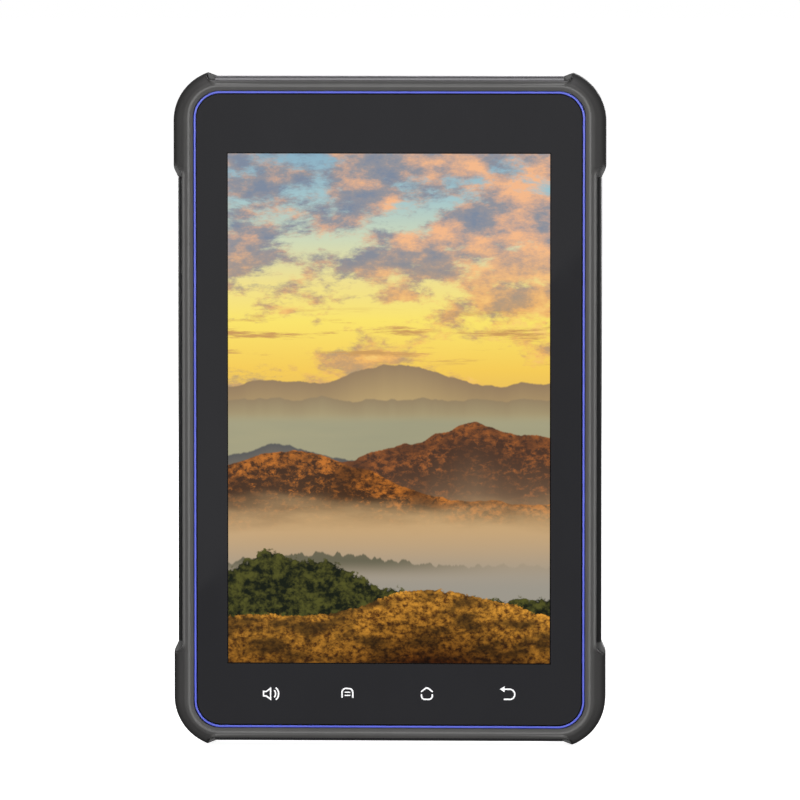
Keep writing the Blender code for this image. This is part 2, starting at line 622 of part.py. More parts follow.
def make_fasteners(looks):
    socket = SCREW_SOCKET_RADIUS
    head = SCREW_HEAD_RADIUS
    shank = SCREW_SHANK_RADIUS
    profile = [(socket, 6.7), (socket, 7.4), (head, 7.4), (head, 6.3), (shank, 6.3)]
    profile.append((shank, CHASSIS_Y[0] + 0.3))
    for number, spot in enumerate(SCREW_SPOTS, start=1):
        turned(f"housing_screw_{number}", spot, profile, looks["steel"])
    profile = [(INSERT_BORE, 4.9), (INSERT_BORE, 7.5), (INSERT_RADIUS, 7.5), (INSERT_RADIUS, 4.2)]
    for number, spot in enumerate(INSERT_SPOTS, start=1):
        turned(f"mount_insert_{number}", spot, profile, looks["brass"], sides=14)


def make_electronics(looks):
    edge = 57.0
    notch = [(-edge, 3.0), (edge, 3.0), (edge, 100.0), (-edge, 100.0), (-edge, 71.0), (-48.0, 71.0)]
    notch += [(-48.0, 42.0), (-edge, 42.0)]
    slab("main_board", notch, (-0.6, 0.6), looks["board"])
    block("shield_can_processor", ((-18.0, 18.0), (0.9, 2.9), (8.0, 52.0)), looks["steel"], bevel=0.4)
    block("shield_can_radio", ((22.0, 50.0), (0.9, 2.9), (12.0, 60.0)), looks["steel"], bevel=0.4)
    block("thermal_pad", ((-12.0, 12.0), (3.2, 5.5), (20.0, 40.0)), looks["ceramic"], bevel=0.3)
    block("gnss_antenna", ((-12.5, 12.5), (0.9, 4.9), (73.0, 98.0)), looks["ceramic"], bevel=0.6)
    block("wifi_antenna", ((-48.0, -20.0), (-1.0, 4.0), (101.0, 106.0)), looks["flex"], bevel=0.5)
    block("cellular_antenna", ((-50.0, -16.0), (-1.0, 4.5), (-106.8, -104.6)), looks["flex"], bevel=0.5)
    block("battery_pack", ((-52.0, 52.0), (-1.3, 4.9), (-87.0, -2.0)), looks["battery"], bevel=1.2)
    block("bottom_board", ((-56.0, -5.0), (-0.6, 0.4), (-104.0, -91.0)), looks["board"])
    block("board_flex", ((-56.0, -53.0), (-0.2, 0.0), (-90.7, 2.7)), looks["flex"])
    block("microphone", ((-30.0, -26.0), (0.7, 1.7), (-103.0, -100.0)), looks["steel"], bevel=0.2)
    x, z = SPEAKER_SPOT
    spans = ((x - 13.0, x + 13.0), (-1.2, 4.8), (z - 6.5, z + 6.5))
    block("speaker_module", spans, looks["black"], bevel=0.8)
    profile = [(4.6, -1.3), (5.0, -0.9), (5.0, 1.3), (4.6, 1.7)]
    turned("vibration_motor", (59.3, -45.0), profile, looks["steel"], sides=20)


def make_rear_fittings(looks):
    x, z = SPEAKER_SPOT
    outline = rounded_rectangle(11.0, 4.0, 1.0, SPEAKER_SPOT, steps=2)
    grille = slab("speaker_grille", outline, (6.9, 7.5), looks["steel"])
    slots = []
    for i in range(-2, 3):
        slots.append(slab("slot", rounded_rectangle(0.7, 2.4, 0.7, (x + 3.0 * i, z), steps=2), (6.0, 8.5)))
    combine(grille, join("grille_slots", slots), "DIFFERENCE")
    camera_profile = [(3.4, 1.0), (3.4, 5.4), (3.9, 5.4), (3.9, 6.6), (2.6, 6.6), (1.9, 5.9)]
    turned("rear_camera", CAMERA_SPOT, camera_profile, looks["black"], sides=20)
    section = [(7.5, 7.0), (7.5, 8.1), (7.1, 8.5), (5.6, 8.5), (5.3, 8.2), (5.3, 7.0)]
    turned("camera_bezel", CAMERA_SPOT, section, looks["steel"], sides=28, closed=True)
    turned("camera_window", CAMERA_SPOT, [(5.0, 7.1), (5.0, 8.0)], looks["glass"], sides=24)
    turned("flash_lens", FLASH_SPOT, [(2.5, 6.3), (2.5, 7.3), (2.2, 7.6)], looks["clear"], sides=16)


def make_connectors(looks):
    usb_z = sum(DOORS["usb"]["seal"]) / 2
    spans = ((-66.3, -57.3), (SIDE_Y - 1.6, SIDE_Y + 1.6), (usb_z - 4.5, usb_z + 4.5))
    shell = block("usb_connector", spans, looks["steel"], bevel=0.3)
    spans = ((-67.0, -60.0), (SIDE_Y - 1.3, SIDE_Y + 1.3), (usb_z - 4.15, usb_z + 4.15))
    combine(shell, block("usb_mouth", spans), "DIFFERENCE")
    card_z = sum(DOORS["card"]["seal"]) / 2
    spans = ((-66.3, -48.3), (SIDE_Y - 1.4, SIDE_Y + 1.4), (card_z - 12.5, card_z + 12.5))
    block("card_socket", spans, looks["steel"], bevel=0.3)
    across = (-DOCK_HALF_WIDTH, DOCK_HALF_WIDTH)
    spans = (across, (SIDE_Y - 2.5, SIDE_Y + 2.5), (-BAND_HALF_HEIGHT + GAP, -106.9))
    block("dock_contact_block", spans, looks["rubber"], bevel=0.4)


def main():
    clear_scene()
    looks = make_materials()
    make_front(looks)
    make_display(looks)
    make_chassis(looks)
    make_rear_housing(looks)
    make_corner_bumpers(looks)
    make_strips(looks)
    make_buttons(looks)
    make_port_doors(looks)
    make_fasteners(looks)
    make_electronics(looks)
    make_rear_fittings(looks)
    make_connectors(looks)


main()
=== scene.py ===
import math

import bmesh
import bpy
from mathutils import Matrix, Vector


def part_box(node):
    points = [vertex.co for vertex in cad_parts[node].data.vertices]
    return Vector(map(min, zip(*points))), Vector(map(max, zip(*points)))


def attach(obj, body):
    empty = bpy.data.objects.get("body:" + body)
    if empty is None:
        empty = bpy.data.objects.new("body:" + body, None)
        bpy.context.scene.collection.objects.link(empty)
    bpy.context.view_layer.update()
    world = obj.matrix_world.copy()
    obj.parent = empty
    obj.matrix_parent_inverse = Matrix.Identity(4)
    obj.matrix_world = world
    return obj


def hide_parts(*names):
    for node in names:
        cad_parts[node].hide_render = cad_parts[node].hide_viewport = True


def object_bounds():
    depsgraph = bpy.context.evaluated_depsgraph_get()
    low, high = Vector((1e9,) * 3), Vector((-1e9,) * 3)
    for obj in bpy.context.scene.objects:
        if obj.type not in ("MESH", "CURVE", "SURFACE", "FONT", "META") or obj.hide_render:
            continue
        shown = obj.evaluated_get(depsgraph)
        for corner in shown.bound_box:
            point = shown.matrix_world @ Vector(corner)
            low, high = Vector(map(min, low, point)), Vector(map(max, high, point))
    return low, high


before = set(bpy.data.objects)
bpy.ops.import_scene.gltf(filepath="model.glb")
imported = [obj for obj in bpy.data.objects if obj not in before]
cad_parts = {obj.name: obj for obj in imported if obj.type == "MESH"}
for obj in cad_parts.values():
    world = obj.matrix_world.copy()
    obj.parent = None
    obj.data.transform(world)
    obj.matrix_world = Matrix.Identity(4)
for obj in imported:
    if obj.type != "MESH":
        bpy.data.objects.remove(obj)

# Looks of a rugged eight-inch data collector that stands upright with its screen towards -Y.
# Lengths are in millimetres and become metres when a mesh is made. x and z are measured from the middle of
# the body and y from the middle of its depth, as in the CAD model.

MM = 0.001
CAD_LOW, CAD_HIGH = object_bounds()
MIDDLE_Z = (CAD_LOW[2] + CAD_HIGH[2]) / 2 / MM


def span(node):
    """Extent of a CAD node in millimetres, as (low, high) along x, y and z."""
    low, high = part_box(node)
    lift = (0.0, 0.0, MIDDLE_Z)
    return [(low[i] / MM - lift[i], high[i] / MM - lift[i]) for i in range(3)]


# Driving dimensions, read from the frame.
HALF_WIDTH = CAD_HIGH[0] / MM
HALF_HEIGHT = (CAD_HIGH[2] - CAD_LOW[2]) / 2 / MM
FRONT_Y = CAD_LOW[1] / MM
BACK_Y = CAD_HIGH[1] / MM

# Clearance round parts, and the closer one of parts that are fitted over each other.
GAP = 0.3
SLIP = 0.12

RING_X, RING_Z = (span("accent_ring")[axis][1] for axis in (0, 2))
RING_FRONT_Y, RING_BACK_Y = span("accent_ring")[1]
GLASS_X, GLASS_Z = (span("cover_glass")[axis][1] for axis in (0, 2))
GLASS_FRONT_Y, GLASS_BACK_Y = span("cover_glass")[1]
HOUSING_X, HOUSING_Z = (span("rear_housing")[axis][1] for axis in (0, 2))
HOUSING_RIM_Y, HOUSING_BACK_Y = span("rear_housing")[1]
BAND_X = span("side_grip_right")[0][1]
BAND_Z = span("top_trim")[2][1]
BUMPER_END_X = span("corner_bumper_top_right")[0][0]
BUMPER_END_Z = span("corner_bumper_top_right")[2][0]

# Silhouette of one corner bumper: an arc that ends in a small flat tip above the recessed top edge.
BUMPER_RADIUS = 17.0
FRAME_RIM = 0.2
BUMPER_CENTRE_X = HALF_WIDTH - BUMPER_RADIUS
TIP_X = 61.1
BUMPER_CENTRE_Z = HALF_HEIGHT - math.sqrt(BUMPER_RADIUS**2 - (TIP_X - BUMPER_CENTRE_X) ** 2)
TIP_ANGLE = math.degrees(math.acos((TIP_X - BUMPER_CENTRE_X) / BUMPER_RADIUS))
NOTCH_RISE = 3.2
NOTCH_RUN = 2.4
NOTCH_TOP = BUMPER_END_Z + 0.5 + NOTCH_RISE

# Front frame: crest of the bezel, lip round the ring, edge in the recesses and split line.
CREST_X = 67.05
CREST_Z = 108.25
CREST_RADIUS = 10.4
LIP_INSET = CREST_X - RING_X - SLIP
EDGE_X = HOUSING_X + 0.6
EDGE_Z = HOUSING_Z + 0.6
WALL_INSET = 0.6
SPLIT_Y = HOUSING_RIM_Y - GAP
REAR_RIM_Y = SPLIT_Y + 0.04
UNDER_Y = -6.8
BUMPER_UNDER_Y = -4.1
LEDGE_INSET = 5.0
RING_RADIUS = 8.95
RING_WIDTH = 0.74
RING_INSET = 0.04
GLASS_RADIUS = 7.8
GLASS_CHAMFER = 0.04
# Width of a near-black strip inside the ring that paints the shadow in the gap round the glass.
GAP_SHADE_WIDTH = 0.42
HOUSING_RADIUS = 14.0
HOUSING_WALL = 2.0
BACK_WALL = 1.8
BORE = (HOUSING_X + SLIP, HOUSING_Z + SLIP, HOUSING_RADIUS + SLIP)

# Outer end of the frame's section, as (distance from the edge, y). On the long sides it ends in a narrow
# land, over the top and bottom in a round brow, and on the bumpers in a deep roll.
LAND = [(1.05, -8.54), (0.88, -8.49), (0.60, -8.46), (0.32, -8.42), (0.12, -8.33), (0.03, -8.22), (0.0, -8.1)]
BROW = [(1.15, -8.90), (0.90, -8.81), (0.65, -8.68), (0.40, -8.50), (0.20, -8.33), (0.05, -8.19), (0.0, -8.1)]
ROLL = [(1.70, -6.20), (1.20, -5.72), (0.80, -5.30), (0.46, -4.92), (0.20, -4.58), (0.06, -4.34), (0.0, -4.2)]
LAND_SINK = 2.9
CREST_ROUND = [(0.12, -8.995), (0.25, -8.975), (0.38, -8.93)]

# Inner side of the bezel: the lip over the ring, as (rise from it, drop), and the slope, as (inset, y).
LIP_ROUND = [(0.0, 0.3), (0.0, 0.0), (0.04, -0.09), (0.15, -0.17)]
INNER_SLOPE = [
    (1.1, -8.66), (0.8, -8.80), (0.6, -8.89), (0.42, -8.95), (0.28, -8.985), (0.12, -9.0), (0.0, -9.0),
]
SLOPE_STEPS = 6
SLOPE_BOW = 0.3

CASING = "casing"


# ---------------------------------------------------------------- meshes


def link_mesh(name, mesh_data):
    """Object in the scene that takes over a bmesh."""
    mesh = bpy.data.meshes.new(name)
    mesh_data.to_mesh(mesh)
    mesh_data.free()
    obj = bpy.data.objects.new(name, mesh)
    bpy.context.scene.collection.objects.link(obj)
    return obj


def new_object(name, mesh_data, look, smooth_angle=35.0):
    """Object from a bmesh in millimetres about the middle of the body."""
    bmesh.ops.remove_doubles(mesh_data, verts=mesh_data.verts, dist=1e-5)
    bmesh.ops.recalc_face_normals(mesh_data, faces=mesh_data.faces)
    for vert in mesh_data.verts:
        vert.co = Vector((vert.co.x, vert.co.y, vert.co.z + MIDDLE_Z)) * MM
    obj = link_mesh(name, mesh_data)
    obj.data.shade_smooth()
    obj.data.set_sharp_from_angle(angle=math.radians(smooth_angle))
    if look:
        obj.data.materials.append(look)
    return obj


def place(obj, body, slot, *nodes):
    """Makes a piece ride on a body and stand for CAD nodes, which it hides. slot is not used."""
    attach(obj, body)
    if nodes:
        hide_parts(*nodes)
    return obj


def add_loops(mesh_data, loops, closed):
    """Skins loops of points that have the same count. A closed set goes round, an open one is capped."""
    rings = [[mesh_data.verts.new(point) for point in loop] for loop in loops]
    pairs = list(zip(rings, rings[1:]))
    if closed:
        pairs.append((rings[-1], rings[0]))
    for first, second in pairs:
        for i in range(len(first)):
            j = (i + 1) % len(first)
            mesh_data.faces.new((first[i], first[j], second[j], second[i]))
    if not closed:
        mesh_data.faces.new(rings[0])
        mesh_data.faces.new(list(reversed(rings[-1])))


def loft(name, loops, look=None, closed=False, smooth_angle=35.0):
    mesh_data = bmesh.new()
    add_loops(mesh_data, loops, closed)
    return new_object(name, mesh_data, look, smooth_angle)


def at_depth(outline, y):
    return [(x, y, z) for x, z in outline]


def at_height(outline, z):
    return [(x, y, z) for x, y in outline]


def rounded_rectangle(half_width, half_height, radius, centre=(0.0, 0.0), steps=8):
    """Outline in x and z, anticlockwise from the right side, with each corner as an arc."""
    outline = []
    for turn, (side_x, side_z) in enumerate(((1, 1), (-1, 1), (-1, -1), (1, -1))):
        for step in range(steps + 1):
            angle = math.radians(90.0 * (turn + step / steps))
            x = centre[0] + side_x * (half_width - radius) + radius * math.cos(angle)
            z = centre[1] + side_z * (half_height - radius) + radius * math.sin(angle)
            outline.append((x, z))
    return outline


def circle(centre, radius, sides):
    angles = [2 * math.pi * i / sides for i in range(sides)]
    return [(centre[0] + radius * math.cos(a), centre[1] + radius * math.sin(a)) for a in angles]


def inset_loops(levels, half_width, half_height, radius, centre=(0.0, 0.0), steps=8):
    """Rounded rectangles at each (inset, y), with their sides and corners drawn in by the inset."""
    loops = []
    for inset, y in levels:
        sizes = (half_width - inset, half_height - inset, radius - inset)
        loops.append(at_depth(rounded_rectangle(*sizes, centre, steps), y))
    return loops


def side_loop(x, inset, ys, zs, radius, steps):
    """Rounded rectangle across x, which fills ys and zs less an inset."""
    centre = ((ys[0] + ys[1]) / 2, (zs[0] + zs[1]) / 2)
    sizes = ((ys[1] - ys[0]) / 2 - inset, (zs[1] - zs[0]) / 2 - inset)
    return [(x, y, z) for y, z in rounded_rectangle(*sizes, radius, centre, steps)]


def box(name, xs, ys, zs, look=None):
    outline = [(xs[1], zs[0]), (xs[1], zs[1]), (xs[0], zs[1]), (xs[0], zs[0])]
    return loft(name, [at_depth(outline, y) for y in ys], look)


def turned(name, centre, profile, look=None, sides=48, closed=False, smooth_angle=35.0):
    """Round piece on an axis along y at centre (x, z), from (radius, y) pairs."""
    loops = [at_depth(circle(centre, radius, sides), y) for radius, y in profile]
    return loft(name, loops, look, closed, smooth_angle)


def arc(centre_u, centre_v, radius, start, end, steps):
    """Points of an arc in a section, from start to end in degrees."""
    points = []
    for step in range(steps + 1):
        angle = math.radians(start + (end - start) * step / steps)
        points.append((centre_u + radius * math.cos(angle), centre_v + radius * math.sin(angle)))
    return points


def soft_plate(name, half_width, half_height, radius, centre, depths, edge, look, steps):
    """Plate with rounded corners whose two faces end in an edge radius. depths is (front, back)."""
    front, back = depths
    levels = [(edge + 0.1, front)]
    for angle in (0, 22, 45, 67, 90):
        inset = edge * (1 - math.sin(math.radians(angle)))
        y = front + edge * (1 - math.cos(math.radians(angle)))
        levels.append((inset, y))
    levels += [(inset, back - (y - front)) for inset, y in reversed(levels)]
    return loft(name, inset_loops(levels, half_width, half_height, radius, centre, steps), look)


def join(name, objects):
    """Puts several objects into one, which takes over their materials."""
    mesh_data = bmesh.new()
    looks = []
    for obj in objects:
        first_new = len(mesh_data.faces)
        mesh_data.from_mesh(obj.data)
        mesh_data.faces.ensure_lookup_table()
        for face in mesh_data.faces[first_new:]:
            face.material_index += len(looks)
        looks += list(obj.data.materials)
        bpy.data.objects.remove(obj, do_unlink=True)
    joined = link_mesh(name, mesh_data)
    for look in looks:
        joined.data.materials.append(look)
    return joined


def apply_modifiers(obj):
    graph = bpy.context.evaluated_depsgraph_get()
    mesh = bpy.data.meshes.new_from_object(obj.evaluated_get(graph))
    obj.modifiers.clear()
    obj.data = mesh


def combine(target, tools, operation):
    """Applies an exact boolean of the joined tools and removes them."""
    tool = join("tool", tools)
    modifier = target.modifiers.new("shape", "BOOLEAN")
    modifier.operation = operation
    modifier.solver = "EXACT"
    modifier.object = tool
    apply_modifiers(target)
    target.data.shade_smooth()
    target.data.set_sharp_from_angle(angle=math.radians(35))
    bpy.data.objects.remove(tool, do_unlink=True)


def soften(obj, width, segments):
    """Applies a bevel of that width to the sharp edges."""
    modifier = obj.modifiers.new("edges", "BEVEL")
    modifier.width = width * MM
    modifier.segments = segments
    modifier.limit_method = "ANGLE"
    modifier.angle_limit = math.radians(40)
    modifier.harden_normals = True
    apply_modifiers(obj)


# ---------------------------------------------------------------- materials


def srgb(*levels):
    """Linear colour from 8-bit display levels."""
    shares = [level / 255 for level in levels]
    return tuple(s / 12.92 if s <= 0.04045 else ((s + 0.055) / 1.055) ** 2.4 for s in shares)


class Graph:
    """Short way to write a shader's node tree. Values may be numbers, colours or other nodes' outputs."""

    def __init__(self, name):
        self.material = bpy.data.materials.new(name)
        self.material.use_nodes = True
        self.tree = self.material.node_tree
        self.shader = self.tree.nodes["Principled BSDF"]
        self.spot = self.tree.nodes.new("ShaderNodeTexCoord").outputs["Object"]

    def node(self, kind, inputs, **settings):
        made = self.tree.nodes.new(kind)
        for key, value in settings.items():
            setattr(made, key, value)
        for key, value in inputs.items():
            self.put(value, made.inputs[key])
        return made

    def put(self, value, socket):
        if isinstance(value, bpy.types.NodeSocket):
            self.tree.links.new(value, socket)
        elif isinstance(value, (tuple, list)) and len(value) == 3 and socket.type == "RGBA":
            socket.default_value = (*value, 1.0)
        else:
            socket.default_value = value

    def set(self, **inputs):
        """Sets inputs of the Principled shader. An underscore in a name stands for a space."""
        for key, value in inputs.items():
            self.put(value, self.shader.inputs[key.replace("_", " ")])

    def math(self, operation, first, second=0.0, third=0.0):
        made = self.node("ShaderNodeMath", {0: first, 1: second, 2: third}, operation=operation)
        return made.outputs[0]

    def add(self, first, second):
        return self.math("ADD", first, second)

    def times(self, first, second):
        return self.math("MULTIPLY", first, second)

    def mix(self, share, first, second, blend="MIX"):
        made = self.node("ShaderNodeMix", {}, data_type="RGBA", blend_type=blend)
        self.put(share, made.inputs[0])
        self.put(first, made.inputs[6])
        self.put(second, made.inputs[7])
        return made.outputs[2]

    def between(self, value, low, high, to_low=0.0, to_high=1.0, smooth=True):
        inputs = {0: value, 1: low, 2: high, 3: to_low, 4: to_high}
        kind = "SMOOTHSTEP" if smooth else "LINEAR"
        return self.node("ShaderNodeMapRange", inputs, interpolation_type=kind).outputs[0]

    def scaled(self, scale, offset=(0.0, 0.0, 0.0)):
        """Place on the object in millimetres over scale, a number or three of them."""
        sizes = scale if isinstance(scale, tuple) else (scale, scale, scale)
        factors = tuple(1 / (MM * size) for size in sizes)
        inputs = {"Vector": self.spot, "Location": offset, "Scale": factors}
        return self.node("ShaderNodeMapping", inputs).outputs[0]

    def noise(self, vector, detail=3.0, roughness=0.5, distortion=0.0):
        inputs = {"Vector": vector, "Scale": 1.0, "Detail": detail, "Roughness": roughness}
        inputs["Distortion"] = distortion
        return self.node("ShaderNodeTexNoise", inputs).outputs[0]

    def line_noise(self, value, detail=4.0, roughness=0.55):
        inputs = {"W": value, "Scale": 1.0, "Detail": detail, "Roughness": roughness}
        return self.node("ShaderNodeTexNoise", inputs, noise_dimensions="1D").outputs[0]

    def ramp(self, value, stops):
        """Colour ramp. stops are (position, 8-bit display colour)."""
        made = self.node("ShaderNodeValToRGB", {0: value})
        elements = made.color_ramp.elements
        while len(elements) < len(stops):
            elements.new(0.5)
        for element, (position, colour) in zip(elements, stops):
            element.position = position
            element.color = (*srgb(*colour), 1.0)
        return made.outputs[0]

    def bump(self, height, strength, depth):
        """Normal from a height map. depth is the height of the relief in millimetres."""
        inputs = {"Height": height, "Strength": strength, "Distance": depth * MM}
        return self.node("ShaderNodeBump", inputs).outputs[0]


def moulded(name, dark, light, roughness, grain=0.35, relief=0.02, patch=9.0, spread=0.05):
    """Moulded plastic or rubber: faint patches, a fine spark-eroded grain and a roughness that follows it."""
    graph = Graph(name)
    patches = graph.noise(graph.scaled(patch), detail=4.0, roughness=0.6)
    fine = graph.noise(graph.scaled(grain), detail=2.0)
    graph.set(Base_Color=graph.mix(graph.between(patches, 0.3, 0.7), dark, light))
    graph.set(Roughness=graph.between(fine, 0.25, 0.75, roughness - spread, roughness + spread))
    graph.set(Normal=graph.bump(fine, 0.35, relief))
    return graph


def metal(name, dark, light, roughness, stretch):
    """Metal with a brushed or blasted grain. stretch is the size of a scratch along x, y and z."""
    graph = Graph(name)
    scratches = graph.noise(graph.scaled(stretch), detail=4.0, roughness=0.6)
    patches = graph.noise(graph.scaled(4.0), detail=3.0)
    graph.set(Base_Color=graph.mix(graph.between(patches, 0.3, 0.7), dark, light), Metallic=1.0)
    graph.set(Roughness=graph.between(scratches, 0.2, 0.8, roughness * 0.8, roughness * 1.25))
    graph.set(Normal=graph.bump(scratches, 0.4, 0.004))
    return graph


def circuit_board(name):
    """Green solder resist with a darker grid of tracks and small bright pads."""
    graph = Graph(name)
    inputs = {"Vector": graph.scaled(3.0), "Scale": 1.0, "Mortar Size": 0.06}
    tracks = graph.node("ShaderNodeTexBrick", inputs)
    pads = graph.node("ShaderNodeTexVoronoi", {"Vector": graph.scaled(1.6), "Scale": 1.0})
    pads = pads.outputs["Distance"]
    base = graph.mix(tracks.outputs["Fac"], (0.012, 0.10, 0.035), (0.03, 0.19, 0.07))
    graph.set(Base_Color=graph.mix(graph.between(pads, 0.16, 0.12), base, (0.75, 0.68, 0.5)))
    graph.set(Roughness=graph.between(pads, 0.1, 0.5, 0.25, 0.45))
    return graph


def make_looks():
    """All materials that aren't the picture, by a short name."""
    looks = {
        "frame": frame_grey_painted_shade(),
        "bumper": moulded("bumper_rubber", (0.030, 0.029, 0.029), (0.040, 0.039, 0.038), 0.5, grain=0.3),
        "band": moulded("band_black", (0.0055, 0.0055, 0.006), (0.0075, 0.0075, 0.008), 0.42, grain=0.3),
        "trim": moulded("trim_satin", (0.024, 0.023, 0.026), (0.030, 0.029, 0.032), 0.30, grain=0.3),
        "housing": moulded("housing_black", (0.020, 0.020, 0.021), (0.028, 0.028, 0.029), 0.58, grain=0.45),
        "ring": moulded("ring_blue", (0.074, 0.108, 0.70), (0.088, 0.122, 0.76), 0.38, 0.2, 0.006),
        "inner": moulded("inner_black", (0.012, 0.012, 0.012), (0.02, 0.02, 0.02), 0.6),
        "seal": moulded("seal_rubber", (0.014, 0.014, 0.015), (0.024, 0.024, 0.025), 0.72, grain=0.2),
        "key": moulded("key_rubber", (0.045, 0.044, 0.044), (0.058, 0.057, 0.056), 0.55, grain=0.2),
        "key_mark": moulded("key_mark_grey", (0.42, 0.42, 0.42), (0.5, 0.5, 0.5), 0.5, grain=0.2),
        "flex": moulded("polyimide", (0.40, 0.19, 0.03), (0.5, 0.26, 0.05), 0.35, patch=4.0),
        "battery": moulded("battery_wrap", (0.03, 0.03, 0.034), (0.055, 0.055, 0.06), 0.45, patch=20.0),
        "ceramic": moulded("ceramic", (0.66, 0.62, 0.55), (0.78, 0.75, 0.69), 0.55, grain=0.3),
        "screen": moulded("panel_dark", (0.02, 0.02, 0.024), (0.03, 0.03, 0.034), 0.3, relief=0.004),
        "border": moulded("border_black", (0.001, 0.001, 0.001), (0.002, 0.002, 0.002), 0.08, relief=0.001),
        "white": moulded("ink_white", (0.84, 0.84, 0.85), (0.93, 0.93, 0.94), 0.45, relief=0.003),
        "window": moulded("window_glass", (0.5, 0.52, 0.56), (0.56, 0.58, 0.62), 0.03, relief=0.0005),
        "lens": moulded(
            "lens_coated", (0.02, 0.015, 0.05), (0.05, 0.02, 0.09), 0.04, relief=0.0005, spread=0.02
        ),
        "phosphor": moulded("phosphor", (0.85, 0.62, 0.12), (0.95, 0.78, 0.25), 0.4, patch=1.0),
        "steel": metal("stainless_steel", (0.5, 0.5, 0.51), (0.62, 0.62, 0.63), 0.3, (0.12, 0.12, 2.5)),
        "screw": metal("black_zinc", (0.05, 0.05, 0.055), (0.09, 0.09, 0.095), 0.34, (0.2, 0.2, 0.2)),
        "alloy": metal("cast_alloy", (0.55, 0.55, 0.57), (0.66, 0.66, 0.68), 0.45, (0.3, 0.3, 0.3)),
        "bezel": metal("anodised_dark", (0.07, 0.07, 0.075), (0.10, 0.10, 0.105), 0.28, (0.1, 0.1, 0.1)),
        "brass": metal("brass", (0.66, 0.45, 0.17), (0.80, 0.58, 0.25), 0.32, (0.3, 0.3, 0.3)),
        "gold": metal("gold_plate", (0.92, 0.66, 0.27), (1.0, 0.76, 0.36), 0.22, (0.2, 0.2, 0.2)),
        "board": circuit_board("circuit_board"),
        "glass": glass_black(),
    }
    looks["white"].set(Emission_Color=(0.9, 0.9, 0.92), Emission_Strength=0.35)
    looks["window"].set(Transmission_Weight=1.0, IOR=1.5)
    looks["lens"].set(Coat_Weight=1.0, Coat_Roughness=0.02)
    return {key: graph.material for key, graph in looks.items()}


def frame_grey_painted_shade():
    """Soft-touch grey with painted shade just behind the crest and deeper down the corner bumpers' flanks."""
    graph = moulded("soft_touch_grey_painted_shade", (0.094, 0.092, 0.090), (0.103, 0.101, 0.099), 0.48, grain=0.22)
    tone = graph.shader.inputs["Base Color"].links[0].from_socket
    gloss = graph.shader.inputs["Roughness"].links[0].from_socket
    y = graph.node("ShaderNodeSeparateXYZ", {0: graph.scaled(1.0)}).outputs[1]
    # Painted shade by depth: a little darker behind the crest, much darker down the bumper flanks.
    tone = graph.mix(graph.between(y, -8.45, -7.8), tone, (0.071, 0.069, 0.068))
    tone = graph.mix(graph.between(y, -6.8, -4.4), tone, (0.022, 0.021, 0.021))
    rougher = graph.between(y, -6.2, -4.6, 0.0, 0.37)
    graph.set(Base_Color=tone, Roughness=graph.add(gloss, rougher))
    return graph


def glass_black():
    """Cover glass, printed black from behind, with the faintest smears in its gloss."""
    graph = Graph("cover_glass_black")
    smears = graph.noise(graph.scaled((18.0, 18.0, 40.0)), detail=5.0, roughness=0.6)
    ink = graph.mix(graph.between(smears, 0.3, 0.7), (0.0250, 0.0250, 0.0280), (0.0264, 0.0264, 0.0296))
    graph.set(Base_Color=ink, IOR=1.5)
    graph.set(Roughness=graph.between(smears, 0.35, 0.75, 0.02, 0.05))
    return graph


# ---------------------------------------------------------------- front


def arc_stations(radius, steps):
    """Points (x, z, angle) round the corner, from the side to the tip over the top edge."""
    stations = []
    for step in range(steps + 1):
        angle = TIP_ANGLE * step / steps
        x = BUMPER_CENTRE_X + radius * math.cos(math.radians(angle))
        stations.append((x, BUMPER_CENTRE_Z + radius * math.sin(math.radians(angle)), angle))
    return stations


def quarter_stations():
    """Stations of one quarter of the front frame, from the right side up and over to the top.

    Each is (kind, value, share, inner, edge): share says how far the bumper has swollen there, or None where
    the wall steps in behind a strip, inner is the place on a plain rounded rectangle, z on the side and an
    angle from there on, and edge is the outermost point.
    """
    rim_radius = BUMPER_RADIUS - FRAME_RIM
    tip_z = BUMPER_CENTRE_Z + rim_radius * math.sin(math.radians(TIP_ANGLE))
    side = [(z, None) for z in (26.0, 52.0, BUMPER_END_Z - GAP)]
    for step in range(13):
        angle = math.radians(7.5 * step)
        side.append((BUMPER_END_Z + 0.5 + NOTCH_RISE * math.sin(angle), 1 - math.cos(angle)))
    side += [(NOTCH_TOP + rise, 1.0) for rise in (0.12, 0.35, 0.6, 0.9, 1.4, 3.0, 8.0)]
    stations = []
    for z, share in side:
        x = EDGE_X + (share or 0.0) * (HALF_WIDTH - FRAME_RIM - EDGE_X)
        stations.append(("side", z, share, z, (x, z)))
    for x, z, angle in arc_stations(rim_radius, 26):
        stations.append(("corner", angle, 1.0, angle, (x, z)))
    top = []
    for step in range(10, -1, -1):
        angle = math.radians(9.0 * step)
        top.append((BUMPER_END_X + 0.7 + NOTCH_RUN * math.sin(angle), 1 - math.cos(angle), 90.0 - 1.6 * step))
    top.append((BUMPER_END_X - GAP, None, 90.6))
    top += [(x, None, 90.0 + (CREST_X - CREST_RADIUS - x)) for x in (40.0, 20.0)]
    for x, share, inner in top:
        stations.append(("top", x, share, inner, (x, EDGE_Z + (share or 0.0) * (tip_z - EDGE_Z))))
    return stations


def mirrored(quarter):
    """Full outline from the points of its first quarter."""
    top_left = [(-point[0], *point[1:]) for point in reversed(quarter)]
    bottom_left = [(-point[0], *point[1:-1], -point[-1]) for point in quarter]
    bottom_right = [(*point[:-1], -point[-1]) for point in reversed(quarter)]
    return quarter + top_left + bottom_left + bottom_right


